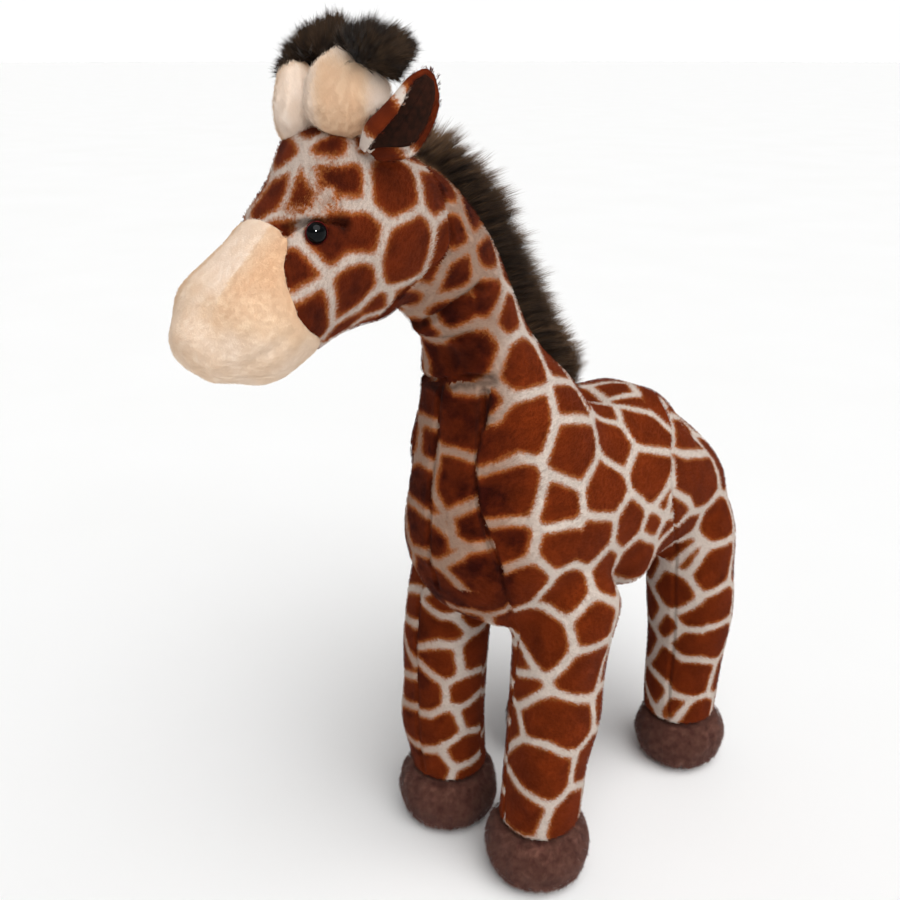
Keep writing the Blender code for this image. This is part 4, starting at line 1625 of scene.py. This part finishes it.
def ear_leaf(name, side, near, far, edges, insets, columns=30, crease=0.0, taper=0.0):
    """A curled leaf with a closed thickness between two insets."""
    placed = ear_frame(side)
    opening = placed[3]
    bm = bmesh.new()
    layers = []
    for inset in insets:
        layer = []
        for row in range(EAR_ROWS + 1):
            u = near + (far - near) * row / EAR_ROWS
            line = []
            for column in range(columns + 1):
                v = edges[0] + (edges[1] - edges[0]) * column / columns
                open_share = min(1.0, u / 0.42)
                heart = 0.1 - 0.3 * (1.0 - open_share) * (taper > 0.0)
                v = heart + (v - 0.1) * (1.0 - taper + taper * open_share)
                place = ear_place(placed, u, v, inset)
                dent = crease * math.exp(-((v - 0.08) / 0.035) ** 2) * math.sin(math.pi * u)
                line.append(bm.verts.new(tuple((place + opening * dent) * MM)))
            layer.append(line)
        layers.append(layer)
    for layer in layers:
        for low, high in zip(layer, layer[1:]):
            for n in range(columns):
                bm.faces.new((low[n], low[n + 1], high[n + 1], high[n]))
    rims = [[*layer[0], *[line[-1] for line in layer[1:]], *layer[-1][-2::-1],
             *[line[0] for line in layer[-2:0:-1]]] for layer in layers]
    for n in range(len(rims[0])):
        after = (n + 1) % len(rims[0])
        bm.faces.new((rims[0][n], rims[1][n], rims[1][after], rims[0][after]))
    bmesh.ops.recalc_face_normals(bm, faces=bm.faces)
    return object_from(name, bm)


def print_on(cover, mark, tone, fuzz):
    """Stores the printed lines of a small piece, with one darkness and one raggedness."""
    for layer, values in (("mark", mark), ("tone", tone), ("fuzz", fuzz)):
        write_attribute(cover.data, layer, values)


class GIRAFFE_OT_ears(bpy.types.Operator):
    """Makes the two folded ears with their dark linings"""

    bl_idname = "giraffe.ears"
    bl_label = "Ears"

    def execute(self, context):
        pile = context.scene.giraffe_pile
        tuft = tuft_object("ear_tuft", blades=6, width=0.15, spread=0.3, lean=0.7, curl=0.4,
                           seed=9)
        velour = ear_velour()
        for side, mirror in SIDES.items():
            node = "ear_" + side
            base, along, wide, opening = ear_frame(side)
            cover = ear_leaf(node + "_cover", side, 0.0, 1.0, (-1.0, 1.0), (EAR_THICK, 0.0))
            skinned(cover, 1.0 * MM, 3)
            points = read_points(cover.data)
            normals = settled(cover, points)
            u = (points - base) @ along / EAR_LENGTH
            v = (points - base) @ wide / EAR_RADIUS
            ahead = np.minimum(np.abs(u - 0.06) - 0.13, np.abs(u - 0.65 + 0.1 * v) - 0.06)
            mark = EAR_LENGTH * np.where(v < 0.1, ahead, np.abs(u - 0.29) - 0.04)
            print_on(cover, mark, 0.6, 0.8)
            length = pile.body_pile * (1.0 + 0.5 * ease(u, 0.78, 1.0))
            inner = (normals @ opening > 0.25) & (v > -0.78) & (v < 0.85) & (u < 0.96)
            file_cover(cover.data, length, combed(normals, along), 1.0 - inner)
            hand_over(cover, bpy.data.materials["patched_polyester_plush"],
                      [node])
            grow(node + "_pile", cover, tuft, bpy.data.materials["patched_polyester_pile"],
                 300000.0, unruly=0.3, uneven=0.3, roundness=1.4,
                 seed=80 + int(mirror))

            lining = ear_leaf(node + "_lining", side, 0.04, 0.95, (-0.66, 0.88),
                              (EAR_THICK + 1.6, EAR_THICK - 0.8), columns=80, crease=-0.9,
                              taper=0.95)
            hand_over(lining, velour)
        drop(tuft)
        return {"FINISHED"}


# the mane's seam down the neck: back along the body, height
MANE_SEAM = ((-95, 492), (-74, 482), (-44, 447), (-20, 408), (6, 368), (30, 340), (50, 324))
MANE_STEPS = 60         # places along that seam


class GIRAFFE_OT_mane(bpy.types.Operator):
    """Makes the mane of long dark fur along the neck"""

    bl_idname = "giraffe.mane"
    bl_label = "Mane"

    def execute(self, context):
        long_pile = context.scene.giraffe_long_pile
        lock = tuft_object("mane_lock", blades=12, width=0.015, spread=0.07, lean=0.06,
                           curl=0.35, seed=12)
        cover = skinned(flesh_copy("mane_backing", ("mane",)), 1.8 * MM, 8)
        points = read_points(cover.data)
        rows = np.array(MANE_SEAM)
        order = np.linspace(0.0, 1.0, MANE_STEPS)
        steps = np.linspace(0.0, 1.0, len(rows))
        path = np.stack([np.interp(order, steps, rows[:, n]) for n in (0, 1)], axis=1)
        tangent = unit(np.gradient(path, axis=0))
        out = np.stack([-tangent[:, 1], tangent[:, 0]], axis=1)
        near = np.linalg.norm(points[:, None, 1:] - path[None], axis=2).argmin(axis=1)
        foot = path[near]
        height = np.sum((points[:, 1:] - foot) * out[near], axis=1)
        points[:, 1:] = foot + (points[:, 1:] - foot) * 0.35
        points[:, 0] *= 0.62
        settled(cover, points)
        spray = np.column_stack((points[:, 0] * 0.085, out[near]))
        down = np.column_stack((np.zeros(len(points)), tangent[near]))
        fringe = 1.0 + 0.13 * fractal(points, 9.0, 4.0)
        along = near / (MANE_STEPS - 1.0)
        ends = ease(along, -0.04, 0.24) * ease(along, 1.0, 0.74)
        length = long_pile.mane_length * fringe * (0.35 + 0.65 * ends)
        file_cover(cover.data, length, unit(down), ease(height, -6.0, 2.0))
        write_attribute(cover.data, "outward", unit(spray))
        hand_over(cover, dark_pile(False, "dark_acrylic_backing"), ["mane"])
        grow("mane_fur", cover, lock, dark_pile(True), 620000.0, unruly=0.24,
             uneven=0.22, roundness=0.35, seed=90)
        drop(lock)
        return {"FINISHED"}


class GIRAFFE_OT_tail(bpy.types.Operator):
    """Makes the tail and its dark tuft"""

    bl_idname = "giraffe.tail"
    bl_label = "Tail"

    def execute(self, context):
        pile = context.scene.giraffe_pile
        long_pile = context.scene.giraffe_long_pile
        tuft = tuft_object("tail_tuft_short", blades=6, width=0.17, spread=0.36, lean=0.75,
                           curl=0.4, seed=13)
        lock = tuft_object("tail_lock", blades=7, width=0.025, spread=0.08, lean=0.1, curl=0.25,
                           rows=3, seed=14)
        cover, points, normals = part_cover("tail_cover", "tail", 1.4 * MM, 6, 1.2)
        normals = settled(cover, points)
        mark = np.abs((points[:, 2] + 3.0 * points[:, 0] / 9.0) % 24.0 - 12.0) - 2.2
        print_on(cover, mark, 0.3, 0.6)
        file_cover(cover.data, pile.body_pile, combed(normals, (0.0, 0.1, -1.0)))
        hand_over(cover, bpy.data.materials["patched_polyester_plush"],
                  ["tail"])
        grow("tail_pile", cover, tuft, bpy.data.materials["patched_polyester_pile"],
             300000.0, roundness=1.5, seed=95)

        cover, points, normals = part_cover("tail_tuft_backing", "tail_tuft", 1.6 * MM, 6, 0.0)
        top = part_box("tail_tuft")[1].z / MM
        widened(points, middle("tail_tuft"), 0.45)
        points[:, 2] = top - (top - points[:, 2]) * 0.45
        normals = settled(cover, points)
        fall = unit(0.35 * normals + np.array((0.0, 0.0, -1.0)))
        file_cover(cover.data, long_pile.tail_length * 0.9, combed(fall, normals[0]))
        write_attribute(cover.data, "outward", fall)
        hand_over(cover, bpy.data.materials["dark_acrylic_backing"],
                  ["tail_tuft"])
        grow("tail_tuft_fur", cover, lock, bpy.data.materials["dark_acrylic_fur"], 700000.0,
             unruly=0.2, uneven=0.2, roundness=0.5, seed=97)
        drop(tuft)
        drop(lock)
        return {"FINISHED"}


EYE_FACING = (1.0, -0.35, 0.10)
EYE_RADIUS = 5.0
TURNED_SIDES = 48       # facets round a turned piece


def turned_round(name, profile, centre, facing):
    """A turned piece from (radius, height) rows along a facing axis."""
    bm = bmesh.new()
    axis = Vector(facing).normalized()
    turn = axis.to_track_quat("Z", "Y").to_matrix().to_4x4()
    place = Matrix.Translation(Vector(centre) * MM) @ turn
    loops = []
    for radius, height in profile:
        turns = range(TURNED_SIDES if radius > 1e-6 else 1)
        angles = [2.0 * math.pi * n / TURNED_SIDES for n in turns]
        loops.append([bm.verts.new(place @ (Vector((
            radius * math.cos(angle), radius * math.sin(angle), height)) * MM))
            for angle in angles])
    for low, high in zip(loops, loops[1:]):
        for n in range(TURNED_SIDES):
            after = (n + 1) % TURNED_SIDES
            corners = [low[n % len(low)], low[after % len(low)], high[after % len(high)],
                       high[n % len(high)]]
            bm.faces.new(list(dict.fromkeys(corners)))
    bmesh.ops.remove_doubles(bm, verts=bm.verts, dist=0.01 * MM)
    bmesh.ops.recalc_face_normals(bm, faces=bm.faces)
    return object_from(name, bm)


class GIRAFFE_OT_eyes(bpy.types.Operator):
    """Makes the domed safety eyes and their rims"""

    bl_idname = "giraffe.eyes"
    bl_label = "Eyes"

    def execute(self, context):
        plastic = eye_plastic()
        rim_plastic = eye_rim_plastic()
        half_turn = [math.pi * n / 20 for n in range(21)]
        dome = [(EYE_RADIUS * math.sin(a), -0.82 * EYE_RADIUS * math.cos(a)) for a in half_turn]
        dome[0] = (0.0, dome[0][1])
        dome[-1] = (0.0, dome[-1][1])
        around = [2.0 * math.pi * n / 14 for n in range(15)]
        ring = [(4.9 + 0.5 * math.cos(a), 0.2 + 0.5 * math.sin(a)) for a in around]
        for side, mirror in SIDES.items():
            node = "eye_" + side
            facing = (EYE_FACING[0] * mirror, EYE_FACING[1], EYE_FACING[2])
            heart = middle(node) + np.array(EYE_SHIFT[side])
            eye = turned_round(node + "_dome", dome, heart, facing)
            hand_over(eye, plastic, [node])
            rim = turned_round(node + "_rim", ring, heart, facing)
            hand_over(rim, rim_plastic)
        return {"FINISHED"}


# ---- stage --------------------------------------------------------------------------------

def linked(name, data, turn, place=(0.0, 0.0, 0.0)):
    """A lamp or camera in the scene."""
    obj = new_object(name, data)
    obj.location = place
    obj.rotation_euler = turn
    return obj


class GIRAFFE_OT_stage(bpy.types.Operator):
    """Makes the pale floor, the soft studio light and the camera"""

    bl_idname = "giraffe.stage"
    bl_label = "Stage"

    def execute(self, context):
        stage = context.scene.giraffe_stage
        bpy.ops.mesh.primitive_circle_add(vertices=64, radius=40.0, fill_type="NGON")
        floor = context.active_object
        floor.name = "studio_floor"
        material, tree, shader = pile_material("matt_paper_sweep", sheen=0.0)
        dye(tree, shader, overlaid(tree, tuple(stage.floor_colour),
                                   (clouds(tree, 300.0), linear("#f3f3f2"))))
        give(floor, material)

        world = bpy.data.worlds.new("studio")
        context.scene.world = world
        world.use_nodes = True
        tree = world.node_tree
        sky = tree.nodes["Background"]
        heading = add_node(tree, "ShaderNodeTexCoord", output="Generated")
        height = add_node(tree, "ShaderNodeSeparateXYZ", {0: heading}, "Z")
        level = add_node(tree, "ShaderNodeMath", {
            0: faded(tree, height, 0.08, 0.2, 1.01, 0.22),
            1: faded(tree, height, 0.2, 1.0, 0.0, 0.21)}, operation="ADD")
        tree.links.new(level, sky.inputs["Color"])

        sun = bpy.data.lights.new("soft_key", "SUN")
        sun.energy = stage.key_strength
        sun.angle = math.radians(60.0)
        linked("soft_key", sun, Vector((0.55, -0.12, 0.83)).to_track_quat("Z", "Y").to_euler())
        spark = bpy.data.lights.new("small_lamp", "AREA")
        spark.shape = "DISK"
        spark.size = 0.06
        spark.energy = stage.spark_power
        place = Vector((0.40, -0.36, 0.66))
        aim = Vector((0.0, -0.15, 0.45)) - place
        lamp = linked("small_lamp", spark, aim.to_track_quat("-Z", "Y").to_euler(), place)
        lamp.visible_diffuse = False

        foot = middle("foot_front_left") * MM
        camera = bpy.data.cameras.new("camera")
        camera.sensor_width = 36.0
        camera.lens = 40.0
        camera.clip_start = 0.02
        context.scene.camera = linked(
            "camera", camera, (math.radians(90.0) - stage.tilt, 0.0, stage.pan),
            (foot[0] + stage.eye_aside, foot[1] - stage.eye_forward, stage.eye_height))
        context.scene.view_settings.view_transform = "Standard"
        return {"FINISHED"}


class GIRAFFE_PT_panel(bpy.types.Panel):
    """Lists the steps that make the toy"""

    bl_idname = "GIRAFFE_PT_panel"
    bl_label = "Plush Giraffe"
    bl_space_type = "VIEW_3D"
    bl_region_type = "UI"
    bl_category = "Plush Giraffe"

    def draw(self, context):
        for group in GROUPS:
            box = self.layout.box()
            settings = getattr(context.scene, group)
            for name in settings.__annotations__:
                box.prop(settings, name)
        for step in STEPS:
            self.layout.operator(step.bl_idname)


STEPS = (GIRAFFE_OT_stage, GIRAFFE_OT_body, GIRAFFE_OT_short_pile, GIRAFFE_OT_feet,
         GIRAFFE_OT_ossicones, GIRAFFE_OT_ears, GIRAFFE_OT_mane, GIRAFFE_OT_tail,
         GIRAFFE_OT_eyes)


def register():
    """Registers the settings, the steps and the panel."""
    for name, group in GROUPS.items():
        bpy.utils.register_class(group)
        setattr(bpy.types.Scene, name, PointerProperty(type=group))
    for step in STEPS:
        bpy.utils.register_class(step)
    bpy.utils.register_class(GIRAFFE_PT_panel)


def unregister():
    """Takes back all that register() added."""
    bpy.utils.unregister_class(GIRAFFE_PT_panel)
    for step in reversed(STEPS):
        bpy.utils.unregister_class(step)
    for name, group in GROUPS.items():
        delattr(bpy.types.Scene, name)
        bpy.utils.unregister_class(group)


def main():
    """Makes the whole toy and its stage."""
    register()
    bpy.ops.giraffe.stage()
    bpy.ops.giraffe.body()
    bpy.ops.giraffe.short_pile()
    bpy.ops.giraffe.feet()
    bpy.ops.giraffe.ossicones()
    bpy.ops.giraffe.ears()
    bpy.ops.giraffe.mane()
    bpy.ops.giraffe.tail()
    bpy.ops.giraffe.eyes()


if __name__ == "__main__":
    main()
